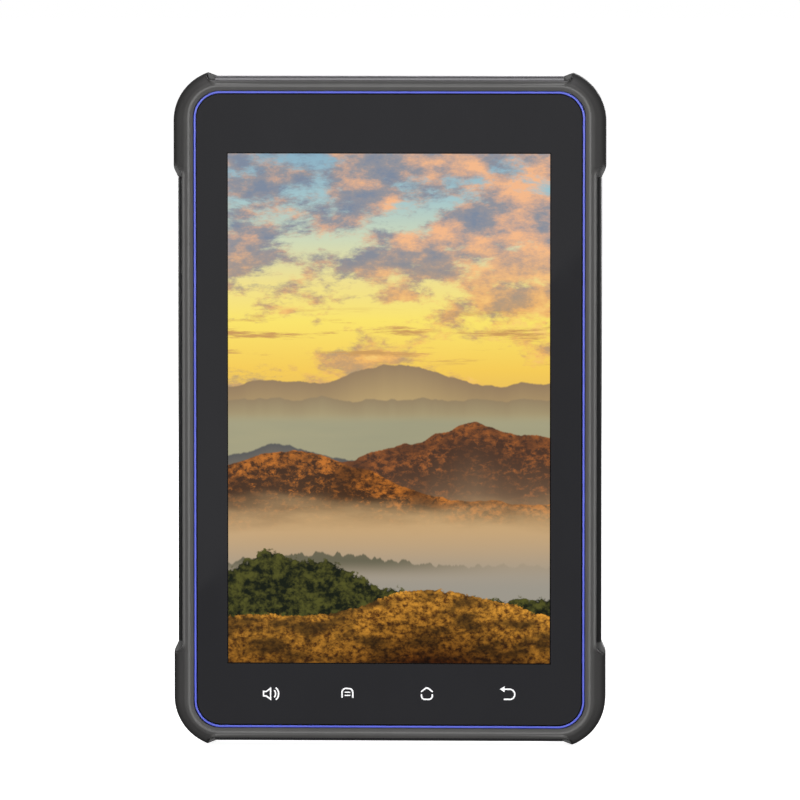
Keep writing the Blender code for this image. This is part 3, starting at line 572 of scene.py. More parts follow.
def plain_quarter(places, half_width, half_height, radius):
    """Quarter of a rounded rectangle at places (kind, value): z on the side, then angles on the corner."""
    centre_x = half_width - radius
    centre_z = half_height - radius
    quarter = []
    for kind, value in places:
        if kind == "side":
            rise = max(0.0, value - centre_z)
            quarter.append((centre_x + math.sqrt(max(radius**2 - rise**2, 0.0)), value))
            continue
        angle = math.radians(min(value, 90.0))
        past_end = max(0.0, value - 90.0)
        x = centre_x + radius * math.cos(angle) - past_end
        quarter.append((x, centre_z + radius * math.sin(angle)))
    return quarter


def edge_section(kind, value, swell):
    """Points (distance from the edge, y) at the outer end of the frame's section."""
    if kind == "corner":
        return ROLL
    start = BROW
    if kind == "side":
        fade = min(max((value - NOTCH_TOP) / 1.4, 0.0), 1.0)
        start = [(inset, y + LAND_SINK * swell) for inset, y in LAND]
        swell = fade * fade * (3 - 2 * fade)
    return [(i0 + swell * (i1 - i0), y0 + swell * (y1 - y0)) for (i0, y0), (i1, y1) in zip(start, ROLL)]


def make_bezel(looks):
    stations = quarter_stations()
    places = [(kind if kind == "side" else "corner", inner) for kind, _, _, inner, _ in stations]

    def plain(inset, y):
        sizes = (CREST_X - inset, CREST_Z - inset, CREST_RADIUS - inset)
        return [(x, y, z) for x, z in plain_quarter(places, *sizes)]

    loops = [plain(LIP_INSET - rise, RING_FRONT_Y + drop) for rise, drop in LIP_ROUND]
    loops += [plain(inset, y) for inset, y in INNER_SLOPE]
    columns = []
    walls = []
    for (kind, value, share, _, (x1, z1)), (x0, _, z0) in zip(stations, plain(0.0, FRONT_Y)):
        swell = share or 0.0
        reach = math.hypot(x1 - x0, z1 - z0)
        outer = [(reach - inset, y) for inset, y in edge_section(kind, value, swell)]
        section = list(CREST_ROUND)
        start, start_y = CREST_ROUND[-1]
        for step in range(1, SLOPE_STEPS):
            t = step / SLOPE_STEPS
            fall = t ** (1 + SLOPE_BOW * swell)
            section.append((start + t * (outer[0][0] - start), start_y + fall * (outer[0][1] - start_y)))
        section += outer
        columns.append([(x0 + d / reach * (x1 - x0), y, z0 + d / reach * (z1 - z0)) for d, y in section])
        under_y = UNDER_Y + swell * (BUMPER_UNDER_Y - UNDER_Y)
        step_in = WALL_INSET if share is None else 0.0
        x2, z2 = (x1 - step_in, z1) if kind == "side" else (x1, z1 - step_in)
        walls.append([(x1, under_y, z1), (x2, under_y, z2), (x2, SPLIT_Y, z2)])
    loops += [list(level) for level in zip(*columns)]
    loops += [list(level) for level in zip(*walls)]
    ledge_y = SPLIT_Y - 0.9
    back_y = RING_BACK_Y + GAP
    inner = LIP_INSET - 0.7
    under = [(inner, SPLIT_Y), (inner, ledge_y), (LEDGE_INSET, ledge_y)]
    under += [(LEDGE_INSET, back_y), (LIP_INSET, back_y)]
    loops += [plain(inset, y) for inset, y in under]
    loops = [mirrored(loop) for loop in loops]
    bezel = loft("front_bezel", loops, looks["frame"], closed=True, smooth_angle=40)
    place(bezel, CASING, "frame", "front_frame")


def make_ring_and_glass(looks):
    ring_sizes = (RING_X - RING_INSET, RING_Z, RING_RADIUS)
    crown = [(0.0, 0.2), (0.03, 0.09), (0.12, 0.02), (0.2, 0.0)]
    crown += [(RING_WIDTH - inset, drop) for inset, drop in reversed(crown)]
    levels = [(inset, RING_FRONT_Y + drop) for inset, drop in crown]
    levels = [(0.0, RING_BACK_Y)] + levels + [(RING_WIDTH, RING_BACK_Y)]
    ring = loft("blue_ring", inset_loops(levels, *ring_sizes, steps=24), looks["ring"], closed=True)
    place(ring, CASING, "accent", "accent_ring")
    levels = [(GLASS_CHAMFER, GLASS_FRONT_Y), (0.0, GLASS_FRONT_Y + GLASS_CHAMFER)]
    levels += [(0.0, GLASS_BACK_Y - GLASS_CHAMFER), (GLASS_CHAMFER, GLASS_BACK_Y)]
    loops = inset_loops(levels, GLASS_X, GLASS_Z, GLASS_RADIUS, steps=24)
    place(loft("glass_sheet", loops, looks["glass"]), CASING, "cover_glass", "cover_glass")
    # Painted shade: a near-black strip in the gap between the ring and the glass stands for the shadow there.
    inner = RING_WIDTH + GAP_SHADE_WIDTH
    levels = [(RING_WIDTH, GLASS_BACK_Y), (RING_WIDTH, PRINT_Y), (inner, PRINT_Y), (inner, GLASS_BACK_Y)]
    gap_shade = loft("ring_gap_shade", inset_loops(levels, *ring_sizes, steps=24), looks["border"], closed=True)
    place(gap_shade, CASING, "seal")


# ---------------------------------------------------------------- display

PICTURE_HALF_WIDTH = 53.74
PICTURE_HALF_HEIGHT = 85.19
PICTURE_CENTRE_X = -0.11
PICTURE_CENTRE_Z = 0.5
PICTURE_BORDER = 0.36
PICTURE_LEVEL = 0.97
PRINT_Y = GLASS_FRONT_Y - 0.02
ICON_Z = -95.0
ICON_STROKE = 0.235
ICON_SPOTS = {"volume": -39.7, "menu": -14.0, "home": 12.6, "back": 39.7}


def picture_look():
    """A hilly landscape at sunset, painted by the shader from the sky down to the nearest slope."""
    graph = Graph("display_picture")
    add, times, mix, between = graph.add, graph.times, graph.mix, graph.between
    place_mm = graph.scaled(1.0, (0.0, 0.0, -(MIDDLE_Z + PICTURE_CENTRE_Z)))
    x, _, z = graph.node("ShaderNodeSeparateXYZ", {0: place_mm}).outputs
    picture = None

    def paint(share, colour):
        nonlocal picture
        picture = mix(share, picture, colour)

    def more(value, factor, base):
        return graph.math("MULTIPLY_ADD", value, factor, base)

    def field(size_x, size_z, seed, detail=5.0, roughness=0.55, distortion=0.0):
        inputs = {"Vector": place_mm, "Location": (seed, 0.0, seed * 1.7)}
        inputs["Scale"] = (1 / size_x, 1.0, 1 / size_z)
        moved = graph.node("ShaderNodeMapping", inputs).outputs[0]
        return graph.noise(moved, detail, roughness, distortion)

    def ridge(base, swing, length, seed, detail, *rise):
        """Height of a skyline. rise is the place, half width and height of a hump in it."""
        wave = graph.line_noise(more(x, 1 / length, seed), detail, 0.5)
        line = more(graph.math("SUBTRACT", wave, 0.5), 2 * swing, base)
        if not rise:
            return line
        centre, width, height = rise
        away = graph.math("ABSOLUTE", graph.math("SUBTRACT", x, centre))
        return add(line, between(away, width, 0.0, 0.0, height))

    def below(height, softness):
        return between(graph.math("SUBTRACT", height, z), -softness, softness)

    def depth(height, reach):
        return between(graph.math("SUBTRACT", height, z), 0.0, reach, smooth=False)

    picture = graph.ramp(between(z, -5.0, PICTURE_HALF_HEIGHT, smooth=False), [
        (0.0, (222, 176, 96)), (0.2, (248, 206, 88)), (0.38, (253, 230, 108)), (0.52, (243, 226, 142)),
        (0.68, (208, 218, 186)), (0.84, (164, 198, 204)), (1.0, (140, 178, 198)),
    ])
    height_share = between(z, 24.0, 62.0)
    right_share = between(x, -40.0, 50.0)
    billows = field(31.0, 14.0, 3.1, 10.0, 0.66, 0.12)
    bank = more(height_share, 0.10, more(right_share, 0.03, billows))
    relief = more(right_share, 0.07, field(15.0, 8.0, 8.4, 9.0, 0.64))
    high_cloud = graph.ramp(relief, [
        (0.40, (126, 138, 158)), (0.50, (150, 148, 154)), (0.58, (200, 166, 148)), (0.68, (246, 186, 140)),
    ])
    low_cloud = graph.ramp(relief, [
        (0.40, (176, 152, 118)), (0.50, (204, 162, 112)), (0.60, (244, 186, 104)), (0.70, (252, 206, 118)),
    ])
    paint(between(bank, 0.49, 0.61), mix(height_share, low_cloud, high_cloud))
    low_band = times(between(z, 36.0, 26.0), between(z, 12.0, 20.0))
    streaks = field(36.0, 3.4, 5.3, 9.0, 0.68)
    paint(times(between(streaks, 0.52, 0.64), low_band), srgb(204, 156, 92))

    far = ridge(8.5, 4.0, 24.0, 2.0, 6.0, 4.0, 28.0, 6.5)
    paint(below(far, 0.35), mix(depth(far, 12.0), srgb(150, 126, 96), srgb(186, 160, 112)))
    near_far = ridge(3.0, 3.0, 17.0, 9.0, 6.0)
    paint(below(near_far, 0.4), mix(depth(near_far, 7.0), srgb(150, 131, 101), srgb(172, 158, 120)))
    mist = mix(field(60.0, 9.0, 1.5, 3.0), srgb(176, 168, 132), srgb(150, 150, 126))
    paint(between(z, -1.0, -5.5), mist)
    blue_hill = ridge(-17.0, 3.5, 16.0, 4.0, 5.0, -36.0, 24.0, 4.5)
    paint(below(blue_hill, 0.4), mix(depth(blue_hill, 10.0), srgb(88, 88, 88), srgb(140, 128, 108)))

    crags = field(2.8, 2.0, 2.2, 8.0, 0.7, 0.2)
    gullies = field(13.0, 8.0, 6.6, 6.0, 0.62, 0.2)

    def slope(height, lit_tone, dark_tone, foot_tone, reach):
        """Wooded hill face that catches low sun along its ridge and sinks into mist at its foot."""
        sunlit = more(depth(height, 9.0), -0.12, crags)
        face = mix(between(sunlit, 0.34, 0.58), dark_tone, lit_tone)
        face = mix(between(gullies, 0.60, 0.40, 0.0, 0.75), face, dark_tone)
        face = mix(graph.math("POWER", depth(height, reach), 2.4), face, foot_tone)
        paint(below(height, 0.3), face)

    right_hill = ridge(-19.0, 3.4, 17.0, 12.0, 7.0, 32.0, 60.0, 13.0)
    slope(right_hill, srgb(168, 98, 48), srgb(74, 50, 38), srgb(150, 122, 94), 30.0)
    left_hill = ridge(-31.0, 2.6, 19.0, 31.0, 7.0, -34.0, 62.0, 16.5)
    slope(left_hill, srgb(196, 116, 44), srgb(66, 42, 26), srgb(140, 108, 78), 34.0)

    fog = mix(between(z, -36.0, -62.0), srgb(204, 168, 120), srgb(158, 152, 140))
    paint(between(more(field(46.0, 12.0, 7.7), 18.0, z), -18.0, -34.0), fog)
    far_trees = ridge(-52.5, 2.2, 3.6, 41.0, 5.0, -24.0, 46.0, 4.0)
    belt = times(between(z, -57.5, -50.5, 0.0, 0.85), between(x, 46.0, -6.0, 0.15, 1.0))
    paint(times(below(far_trees, 0.4), belt), srgb(84, 86, 68))

    canopy = more(field(7.0, 4.6, 8.8, 3.0), 0.7, field(2.2, 2.0, 4.4, 7.0, 0.68))
    clumps = times(graph.math("SUBTRACT", canopy, 0.85), 8.0)
    trees = add(ridge(-64.0, 3.2, 12.0, 17.0, 6.0, -36.0, 54.0, 15.0), clumps)
    paint(below(trees, 0.5), mix(between(canopy, 0.72, 1.04), srgb(20, 26, 16), srgb(84, 84, 36)))

    grass = field(2.2, 1.7, 9.9, 8.0, 0.7, 0.1)
    bank_height = ridge(-69.5, 2.4, 26.0, 23.0, 5.0, 14.0, 44.0, 9.0)
    golden = mix(between(grass, 0.36, 0.66), srgb(84, 48, 18), srgb(232, 162, 58))
    golden = mix(between(field(15.0, 7.0, 5.9, 6.0), 0.42, 0.64, 0.0, 0.85), golden, srgb(58, 42, 20))
    golden = mix(depth(bank_height, 24.0), golden, srgb(96, 70, 36), "MULTIPLY")
    tufts = times(graph.math("SUBTRACT", grass, 0.5), 4.0)
    paint(below(add(bank_height, tufts), 0.25), golden)

    graph.set(Base_Color=(0.0, 0.0, 0.0), IOR=1.5, Emission_Color=picture)
    graph.set(Emission_Strength=PICTURE_LEVEL)
    graph.set(Roughness=between(graph.noise(graph.scaled(20.0)), 0.3, 0.7, 0.02, 0.05))
    return graph.material


def stroke(mesh_data, points, half_width=ICON_STROKE, closed=False):
    """Flat ribbon of constant width along points (x, z), mitred where it turns."""
    ends = zip(points, points[1:] + points[:1])
    runs = [Vector((x1 - x0, z1 - z0)).normalized() for (x0, z0), (x1, z1) in ends]
    if not closed:
        runs[-1] = runs[-2]
    rows = []
    for point, first, second in zip(points, runs[-1:] + runs if closed else runs[:1] + runs, runs):
        along = (first + second).normalized()
        normal = Vector((-along.y, along.x))
        width = half_width / max(normal.dot(Vector((-first.y, first.x))), 0.35)
        pair = (Vector(point) + normal * width, Vector(point) - normal * width)
        rows.append([mesh_data.verts.new((p.x, PRINT_Y, p.y)) for p in pair])
    pairs = list(zip(rows, rows[1:]))
    if closed:
        pairs.append((rows[-1], rows[0]))
    for (a, b), (c, d) in pairs:
        mesh_data.faces.new((a, b, d, c))


def icon_volume(mesh_data, x, z):
    """Loudspeaker with two sound waves."""
    body = [(-2.4, -0.75), (-1.5, -0.75), (-0.05, -1.8), (-0.05, 1.8), (-1.5, 0.75), (-2.4, 0.75)]
    stroke(mesh_data, [(x + u, z + v - 0.2) for u, v in body], closed=True)
    for radius, half_angle in ((1.65, 46), (2.65, 50)):
        stroke(mesh_data, arc(x, z - 0.2, radius, -half_angle, half_angle, 12))


def icon_menu(mesh_data, x, z):
    """Arch over two bars."""
    arch = [(x - 1.8, z - 1.45), (x - 1.8, z + 0.35)] + arc(x - 0.5, z + 0.35, 1.3, 180, 90, 6)[1:]
    arch += arc(x + 0.5, z + 0.35, 1.3, 90, 0, 6) + [(x + 1.8, z - 1.45)]
    stroke(mesh_data, arch)
    for bar in (0.4, -0.65):
        stroke(mesh_data, [(x - 0.95, z + bar), (x + 0.95, z + bar)], ICON_STROKE * 0.8)


def icon_home(mesh_data, x, z):
    """Roof over an open box."""
    roof = [(x - 1.95, z + 0.6), (x - 0.35, z + 1.9), (x + 0.35, z + 1.9), (x + 1.95, z + 0.6)]
    stroke(mesh_data, roof)
    walls = [(x - 1.8, z - 0.15)] + arc(x - 0.7, z - 0.8, 1.1, 180, 270, 6)
    walls += arc(x + 0.7, z - 0.8, 1.1, 270, 360, 6) + [(x + 1.8, z - 0.15)]
    stroke(mesh_data, walls)


def icon_back(mesh_data, x, z):
    """Arrow that turns back to the left."""
    bend = [(x - 1.4, z + 1.6)] + arc(x + 0.6, z - 0.1, 1.7, 90, -90, 14) + [(x - 1.4, z - 1.8)]
    stroke(mesh_data, bend)
    head = [(x - 2.7, z + 1.6), (x - 1.1, z + 0.6), (x - 1.1, z + 2.6)]
    mesh_data.faces.new([mesh_data.verts.new((u, PRINT_Y, v)) for u, v in head])


def printed(name, mesh_data, look):
    """Flat piece on the glass, with its faces turned towards -Y."""
    obj = new_object(name, mesh_data, look)
    for polygon in obj.data.polygons:
        if polygon.normal.y > 0:
            polygon.flip()
    place(obj, CASING, "display")


def make_display(looks):
    mesh_data = bmesh.new()
    columns, rows = 24, 38
    grid = []
    for row in range(rows + 1):
        z = PICTURE_CENTRE_Z + PICTURE_HALF_HEIGHT * (2 * row / rows - 1)
        shares = [2 * column / columns - 1 for column in range(columns + 1)]
        xs = [PICTURE_CENTRE_X + PICTURE_HALF_WIDTH * share for share in shares]
        grid.append([mesh_data.verts.new((x, PRINT_Y, z)) for x in xs])
    for low, high in zip(grid, grid[1:]):
        for i in range(columns):
            mesh_data.faces.new((low[i], low[i + 1], high[i + 1], high[i]))
    printed("display_picture", mesh_data, picture_look())
    mesh_data = bmesh.new()
    across = PICTURE_HALF_WIDTH + PICTURE_BORDER / 2
    up = PICTURE_HALF_HEIGHT + PICTURE_BORDER / 2
    signs = ((1, 1), (-1, 1), (-1, -1), (1, -1))
    corners = [(PICTURE_CENTRE_X + u * across, PICTURE_CENTRE_Z + v * up) for u, v in signs]
    stroke(mesh_data, corners, PICTURE_BORDER / 2, closed=True)
    printed("display_border", mesh_data, looks["border"])
    icons = {"volume": icon_volume, "menu": icon_menu, "home": icon_home, "back": icon_back}
    for name, draw in icons.items():
        mesh_data = bmesh.new()
        draw(mesh_data, ICON_SPOTS[name], ICON_Z)
        printed(f"touch_key_{name}", mesh_data, looks["white"])


# ---------------------------------------------------------------- sides

# Section of a rear bumper: first (share of the way in to its bore, y), then (depth inside the bore, y).
BUMPER_OUTSIDE = [
    (0.05, REAR_RIM_Y), (0.0, REAR_RIM_Y + 0.15), (0.0, 4.2), (0.012, 5.4), (0.06, 6.5), (0.15, 7.45),
    (0.29, 8.25), (0.48, 8.75), (0.7, 8.97), (0.95, BACK_Y),
]
BUMPER_INSIDE = [
    (3.0, BACK_Y), (7.2, BACK_Y), (7.9, 8.9), (8.35, 8.6), (8.6, 8.1), (8.65, 7.75), (2.2, 7.75), (1.3, 6.9),
    (0.0, 5.9), (0.0, REAR_RIM_Y),
]
RAMP_STEPS = 7
RAMP_RISE = 3.9
SIDE_Y = 0.4
STRIP_SECTION = [
    (0.0, -6.45), (0.45, -6.45), (0.62, -6.40), (0.75, -6.25), (1.7, -4.75), (1.92, -4.25), (2.0, -3.7),
    (2.0, -3.3), (2.0, -2.9), (2.0, -2.3), (2.0, 3.0), (2.0, 3.6),
    (2.0, 4.3), (1.92, 4.75), (1.65, 5.25), (1.1, 5.85), (0.8, 6.05), (0.0, 6.1),
]
GROOVE_Y = (-2.5, 3.2)
STRIP_CLEARANCE = 0.06
GROOVE_DEPTH = 0.22
GROOVE_PITCH = 3.2
GRIP_SPAN = (-66.0, -14.0)
KEY_SPOTS = {"power": 58.0, "function": 38.0}
KEY_LENGTH = 14.0
KEY_HEIGHT = 4.0
KEY_STEM = 3.0
KEY_FLANGE = (KEY_LENGTH + 2.0, KEY_HEIGHT + 1.6)
KEY_STEM_X = 66.0
KEY_FLANGE_X = (69.1, 69.5)
KEY_ROOM = 0.35
MARK_HALF_WIDTH = 0.12
MARK_LIFT = 0.02
DOORS = {"usb": (32.5, 18.0), "card": (72.5, 39.5)}
DOOR_HINGE_X = 69.85
DOOR_KNUCKLE = 0.85
DOOR_INNER_X = 69.3
DOOR_HALF_HEIGHT = 2.6
DOCK_HALF_WIDTH = 12.0
DOCK_XS = (-DOCK_HALF_WIDTH - GAP, DOCK_HALF_WIDTH + GAP)
DOCK_OPENING = 2.8
DOCK_PADS = 8
USB_PADS = 12
USB_PITCH = 0.5


def around_side(reach):
    return SIDE_Y - reach, SIDE_Y + reach


def strip_stations(reach, grooves):
    """Places along a strip with how deep its outer face is cut there."""
    stations = [(-reach, 0.25), (-reach + 0.25, 0.0)]
    if grooves:
        low, high = GRIP_SPAN
        count = int((high - low) / GROOVE_PITCH)
        for i in range(count):
            middle = low + GROOVE_PITCH * (i + 0.5)
            stations += [(middle - 0.75, 0.0), (middle - 0.45, 0.8 * GROOVE_DEPTH), (middle, GROOVE_DEPTH)]
            stations += [(middle + 0.45, 0.8 * GROOVE_DEPTH), (middle + 0.75, 0.0)]
    stations += [(reach - 0.25, 0.0), (reach, 0.25)]
    return stations


def make_strip(name, look, reach, base, rise, along_x, sign, grooves=False):
    loops = []
    for along, cut in strip_stations(reach, grooves):
        loop = []
        for out, y in STRIP_SECTION:
            is_cut = abs(along) == reach or GROOVE_Y[0] < y < GROOVE_Y[1]
            height = sign * (base + min(out * rise / 2.0, rise - cut if is_cut else rise))
            loop.append((along, y, height) if along_x else (height, y, along))
        loops.append(loop)
    return loft(name, loops, look, smooth_angle=32)


def stadium_loop(x, centre_z, length, height, steps=10):
    """Slot-shaped loop in the plane across x, long in z."""
    radius = height / 2
    loop = []
    for side, start in ((1, 0.0), (-1, 180.0)):
        for step in range(steps + 1):
            angle = math.radians(start + 180.0 * step / steps)
            z = centre_z + side * (length / 2 - radius) + radius * math.sin(angle)
            loop.append((x, SIDE_Y + radius * math.cos(angle), z))
    return loop


def make_strips(looks):
    base_x, base_z, _ = BORE
    upright = (BUMPER_END_Z - STRIP_CLEARANCE, base_x, BAND_X - base_x, False)
    level = (BUMPER_END_X - STRIP_CLEARANCE, base_z, BAND_Z - base_z, True)
    right = make_strip("grip_right", looks["band"], *upright, 1, grooves=True)
    left = make_strip("grip_left", looks["band"], *upright, -1, grooves=True)
    top = make_strip("trim_top", looks["trim"], *level, 1)
    bottom = make_strip("trim_bottom", looks["trim"], *level, -1)
    shoulder = EDGE_X + 0.6
    wide = [size + 2 * GAP for size in KEY_FLANGE]
    narrow = [size + 2 * KEY_ROOM for size in (KEY_LENGTH, KEY_HEIGHT)]
    rim = [size + 0.5 for size in narrow]
    levels = [(HOUSING_X - 1.0, wide), (shoulder, wide), (shoulder, narrow), (BAND_X - 0.25, narrow)]
    levels += [(BAND_X + 0.02, rim), (BAND_X + 1.0, rim)]
    openings = []
    for z in KEY_SPOTS.values():
        openings.append(loft("opening", [stadium_loop(x, z, *size) for x, size in levels]))
    combine(right, openings, "DIFFERENCE")
    openings = []
    for hinge, foot in DOORS.values():
        zs = (foot - 0.35, hinge + DOOR_KNUCKLE + 0.35)
        ys = around_side(DOOR_HALF_HEIGHT + GAP)
        openings.append(box("opening", (-BAND_X - 1.0, -HOUSING_X + 1.0), ys, zs))
    combine(left, openings, "DIFFERENCE")
    dock = box("dock", DOCK_XS, around_side(DOCK_OPENING), (-HALF_HEIGHT - 1.0, -HOUSING_Z + 1.0))
    combine(bottom, [dock], "DIFFERENCE")
    nodes = {"side_grip_right": right, "side_grip_left": left, "top_trim": top, "bottom_trim": bottom}
    for node, strip in nodes.items():
        place(strip, CASING, "strip", node)


def make_bumper_quarter():
    """Sections of one rear bumper, from its end on the side, round the corner, to its end on the top."""
    stations = []
    for step in range(RAMP_STEPS + 1):
        t = step / RAMP_STEPS
        x = BAND_X + (HALF_WIDTH - BAND_X) * math.sin(math.pi / 2 * t) ** 1.3
        z = BUMPER_END_Z + RAMP_RISE * t
        stations.append((x, z, "side", z))
    stations += [(HALF_WIDTH, z, "side", z) for z in (84.0, 88.0, 92.0)]
    for x, z, angle in arc_stations(BUMPER_RADIUS, 24):
        stations.append((x, z, "corner", angle))
    for step in range(1, RAMP_STEPS + 1):
        t = step / RAMP_STEPS
        x = TIP_X + t * (BUMPER_END_X - TIP_X)
        z = HALF_HEIGHT + t * (BAND_Z - HALF_HEIGHT)
        stations.append((x, z, "corner", min(90.0, TIP_ANGLE + 21.0 * t)))
    sections = []
    for x, z, *spot in stations:
        section = []
        bore_x, bore_z = plain_quarter([spot], *BORE)[0]
        for share, y in BUMPER_OUTSIDE:
            section.append((x + share * (bore_x - x), y, z + share * (bore_z - z)))
        for depth, y in BUMPER_INSIDE:
            inner_x, inner_z = plain_quarter([spot], *(size - depth for size in BORE))[0]
            section.append((inner_x, y, inner_z))
        sections.append(section)
    return sections


def make_bumpers(looks):
    quarter = make_bumper_quarter()
    for vertical, up in (("top", 1), ("bottom", -1)):
        for sideways, out in (("left", -1), ("right", 1)):
            sections = [[(out * x, y, up * z) for x, y, z in section] for section in quarter]
            name = f"bumper_{vertical}_{sideways}"
            bumper = loft(name, sections, looks["bumper"], smooth_angle=38)
            place(bumper, CASING, "bumper", f"corner_bumper_{vertical}_{sideways}")


def make_keys(looks):
    """Side keys with a domed cap, a flange behind the strip and a stem, and a generic mark on each."""
    for name, z in KEY_SPOTS.items():
        body = f"{name}_button"
        top = span(body)[0][1]
        stem = (KEY_STEM, KEY_STEM)
        cap = (KEY_LENGTH, KEY_HEIGHT)
        x0, x1 = KEY_FLANGE_X
        levels = [(KEY_STEM_X, stem), (x0, stem), (x0, KEY_FLANGE), (x1, KEY_FLANGE)]
        levels += [(x1, cap), (top - 0.45, cap)]
        for shrink, drop in ((0.1, 0.28), (0.3, 0.14), (0.6, 0.05), (1.0, 0.01), (1.4, 0.0)):
            levels.append((top - drop, (KEY_LENGTH - shrink, KEY_HEIGHT - shrink)))
        key = loft(f"key_{name}", [stadium_loop(x, z, *size) for x, size in levels], looks["key"])
        place(key, body, "button", body)
        ring_and_bar = [arc(SIDE_Y, z, 0.85, 130, 410, 28), [(SIDE_Y, z + 0.2), (SIDE_Y, z + 1.1)]]
        bars = [[(y, z + shift) for y in around_side(0.9)] for shift in (-1.5, 0.0, 1.5)]
        mesh_data = bmesh.new()
        for line in ring_and_bar if name == "power" else bars:
            ribbon_on_side(mesh_data, line, top)
        place(new_object(f"key_mark_{name}", mesh_data, looks["key_mark"]), body, "button")


def ribbon_on_side(mesh_data, points, top):
    """Raised line of ink on a key's cap along points (y, z)."""
    rows = []
    for i, (y, z) in enumerate(points):
        before = points[max(i - 1, 0)]
        after = points[min(i + 1, len(points) - 1)]
        along = Vector((after[0] - before[0], after[1] - before[1])).normalized()
        side = Vector((-along.y, along.x)) * MARK_HALF_WIDTH
        row = [(-0.01, side), (MARK_LIFT, side), (MARK_LIFT, -side), (-0.01, -side)]
        rows.append([(top + rise, y + offset.x, z + offset.y) for rise, offset in row])
    add_loops(mesh_data, rows, closed=False)


def make_doors(looks):
    """Port doors with rounded edges, a finger groove at the foot, a pivot and a lipped rubber seal."""
    outer = -DOOR_HINGE_X - DOOR_KNUCKLE
    inner = -DOOR_INNER_X
    for name, (hinge, foot) in DOORS.items():
        outline = [(outer, foot + 0.5), (outer, foot + 0.9), (outer + 0.28, foot + 1.15)]
        outline += [(outer + 0.28, foot + 1.75), (outer, foot + 2.0), (outer, hinge - 2.0)]
        outline += [(-DOOR_HINGE_X + u, hinge + v) for u, v in arc(0.0, 0.0, DOOR_KNUCKLE, 180, 0, 12)]
        outline += [(inner, hinge - DOOR_KNUCKLE - 0.5), (inner, foot), (outer + 0.5, foot)]
        loops = []
        rounding = [(0.072, -1.0), (0.024, -0.985), (0.0, -0.95)]
        rounding += [(draw_in, -depth) for draw_in, depth in reversed(rounding)]
        for draw_in, depth in rounding:
            y = SIDE_Y + depth * DOOR_HALF_HEIGHT
            loops.append([(x + (draw_in if x < -69.8 else -draw_in), y, z) for x, z in outline])
        leaf = loft(f"door_{name}", loops, looks["key"])
        pin = [(0.35, y) for y in around_side(DOOR_HALF_HEIGHT + 0.9)]
        combine(leaf, [turned("pin", (-DOOR_HINGE_X, hinge), pin, sides=20)], "UNION")
        body = f"{name}_door"
        place(leaf, body, "button", body)
        make_seal(name, looks["seal"])


def make_seal(name, look):
    """Rubber plug behind a door, with two sealing lips round it."""
    node = f"{name}_door_seal"
    (x0, x1), ys, zs = span(node)
    levels = [(x0, 0.35), (x0 + 0.15, 0.3)]
    for start in (x0 + 0.5, x0 + 1.2):
        lip = ((0.0, 0.3), (0.12, 0.05), (0.24, 0.0), (0.36, 0.05), (0.48, 0.3))
        levels += [(start + along, shrink) for along, shrink in lip]
    levels += [(x1 - 0.12, 0.38), (x1, 0.55)]
    loops = [side_loop(x, shrink, ys, zs, 0.7, 6) for x, shrink in levels]
    place(loft(f"seal_{name}", loops, look), f"{name}_door", "seal", node)


def make_ports(looks):
    """USB socket with its tongue, card socket with two slots, and the charging contacts under the body."""
    (x0, x1), ys, zs = span("usb_connector")
    mouth = x0 + 6.0
    tube = [(x1, 0.0), (x0 + 0.1, 0.0), (x0, 0.1), (x0, 0.22), (x0 + 0.12, 0.3), (mouth, 0.3)]
    loops = [side_loop(x, inset, ys, zs, 1.55 - inset, 8) for x, inset in tube]
    place(loft("usb_shell", loops, looks["steel"]), CASING, "sheet_steel", "usb_connector")
    middle_y = (ys[0] + ys[1]) / 2
    middle_z = (zs[0] + zs[1]) / 2
    ys = (middle_y - 0.35, middle_y + 0.35)
    zs = (middle_z - 3.3, middle_z + 3.3)
    pads = [box("usb_tongue", (x0 + 0.9, mouth - 0.05), ys, zs, looks["inner"])]
    for i in range(USB_PADS):
        z = middle_z + USB_PITCH * (i - (USB_PADS - 1) / 2)
        for y in ys:
            pad_ys = (y - 0.03, y + 0.03)
            pads.append(box("pad", (x0 + 1.2, x0 + 3.4), pad_ys, (z - 0.13, z + 0.13), looks["gold"]))
    place(join("usb_tongue", pads), CASING, "sheet_steel")

    (x0, x1), (y0, y1), (z0, z1) = span("card_socket")
    holder = box("card_holder", (x0, x1), (y0, y1), (z0, z1), looks["steel"])
    slots = []
    for zs in ((z0 + 1.2, z0 + 11.8), (z1 - 11.8, z1 - 1.2)):
        slots.append(box("slot", (x0 - 1.0, x0 + 12.0), (y0 + 0.9, y1 - 0.9), zs))
    combine(holder, slots, "DIFFERENCE")
    soften(holder, 0.12, 2)
    place(holder, CASING, "sheet_steel", "card_socket")

    (x0, x1), ys, (z0, z1) = span("dock_contact_block")
    block = box("dock_block", (x0, x1), ys, (z0, z1), looks["seal"])
    soften(block, 0.35, 3)
    place(block, CASING, "seal", "dock_contact_block")
    pads = []
    for i in range(DOCK_PADS):
        spot = (x0 + 3.6 + i * (x1 - x0 - 7.2) / (DOCK_PADS - 1), SIDE_Y)
        loops = []
        for radius, z in ((0.85, z0 + 0.4), (0.85, z0 - 0.04), (0.75, z0 - 0.1), (0.5, z0 - 0.12)):
            loops.append(at_height(circle(spot, radius, 24), z))
        pads.append(loft("contact", loops, looks["gold"]))
    place(join("dock_contacts", pads), CASING, "alloy")


# ---------------------------------------------------------------- back

SCREW_SPOTS = [(x, z) for x in (60.5, -60.5) for z in (74.0, 0.0, -74.0)] + [(0.0, 103.4), (0.0, -103.4)]
INSERT_SPOTS = [(x, z) for z in (15.0, 45.0) for x in (-19.0, 19.0)]
CAMERA_SPOT = (38.0, 88.0)
FLASH_SPOT = (51.5, 88.0)
SPEAKER_SPOT = (37.0, -97.5)
SCREW_SIDES = 48

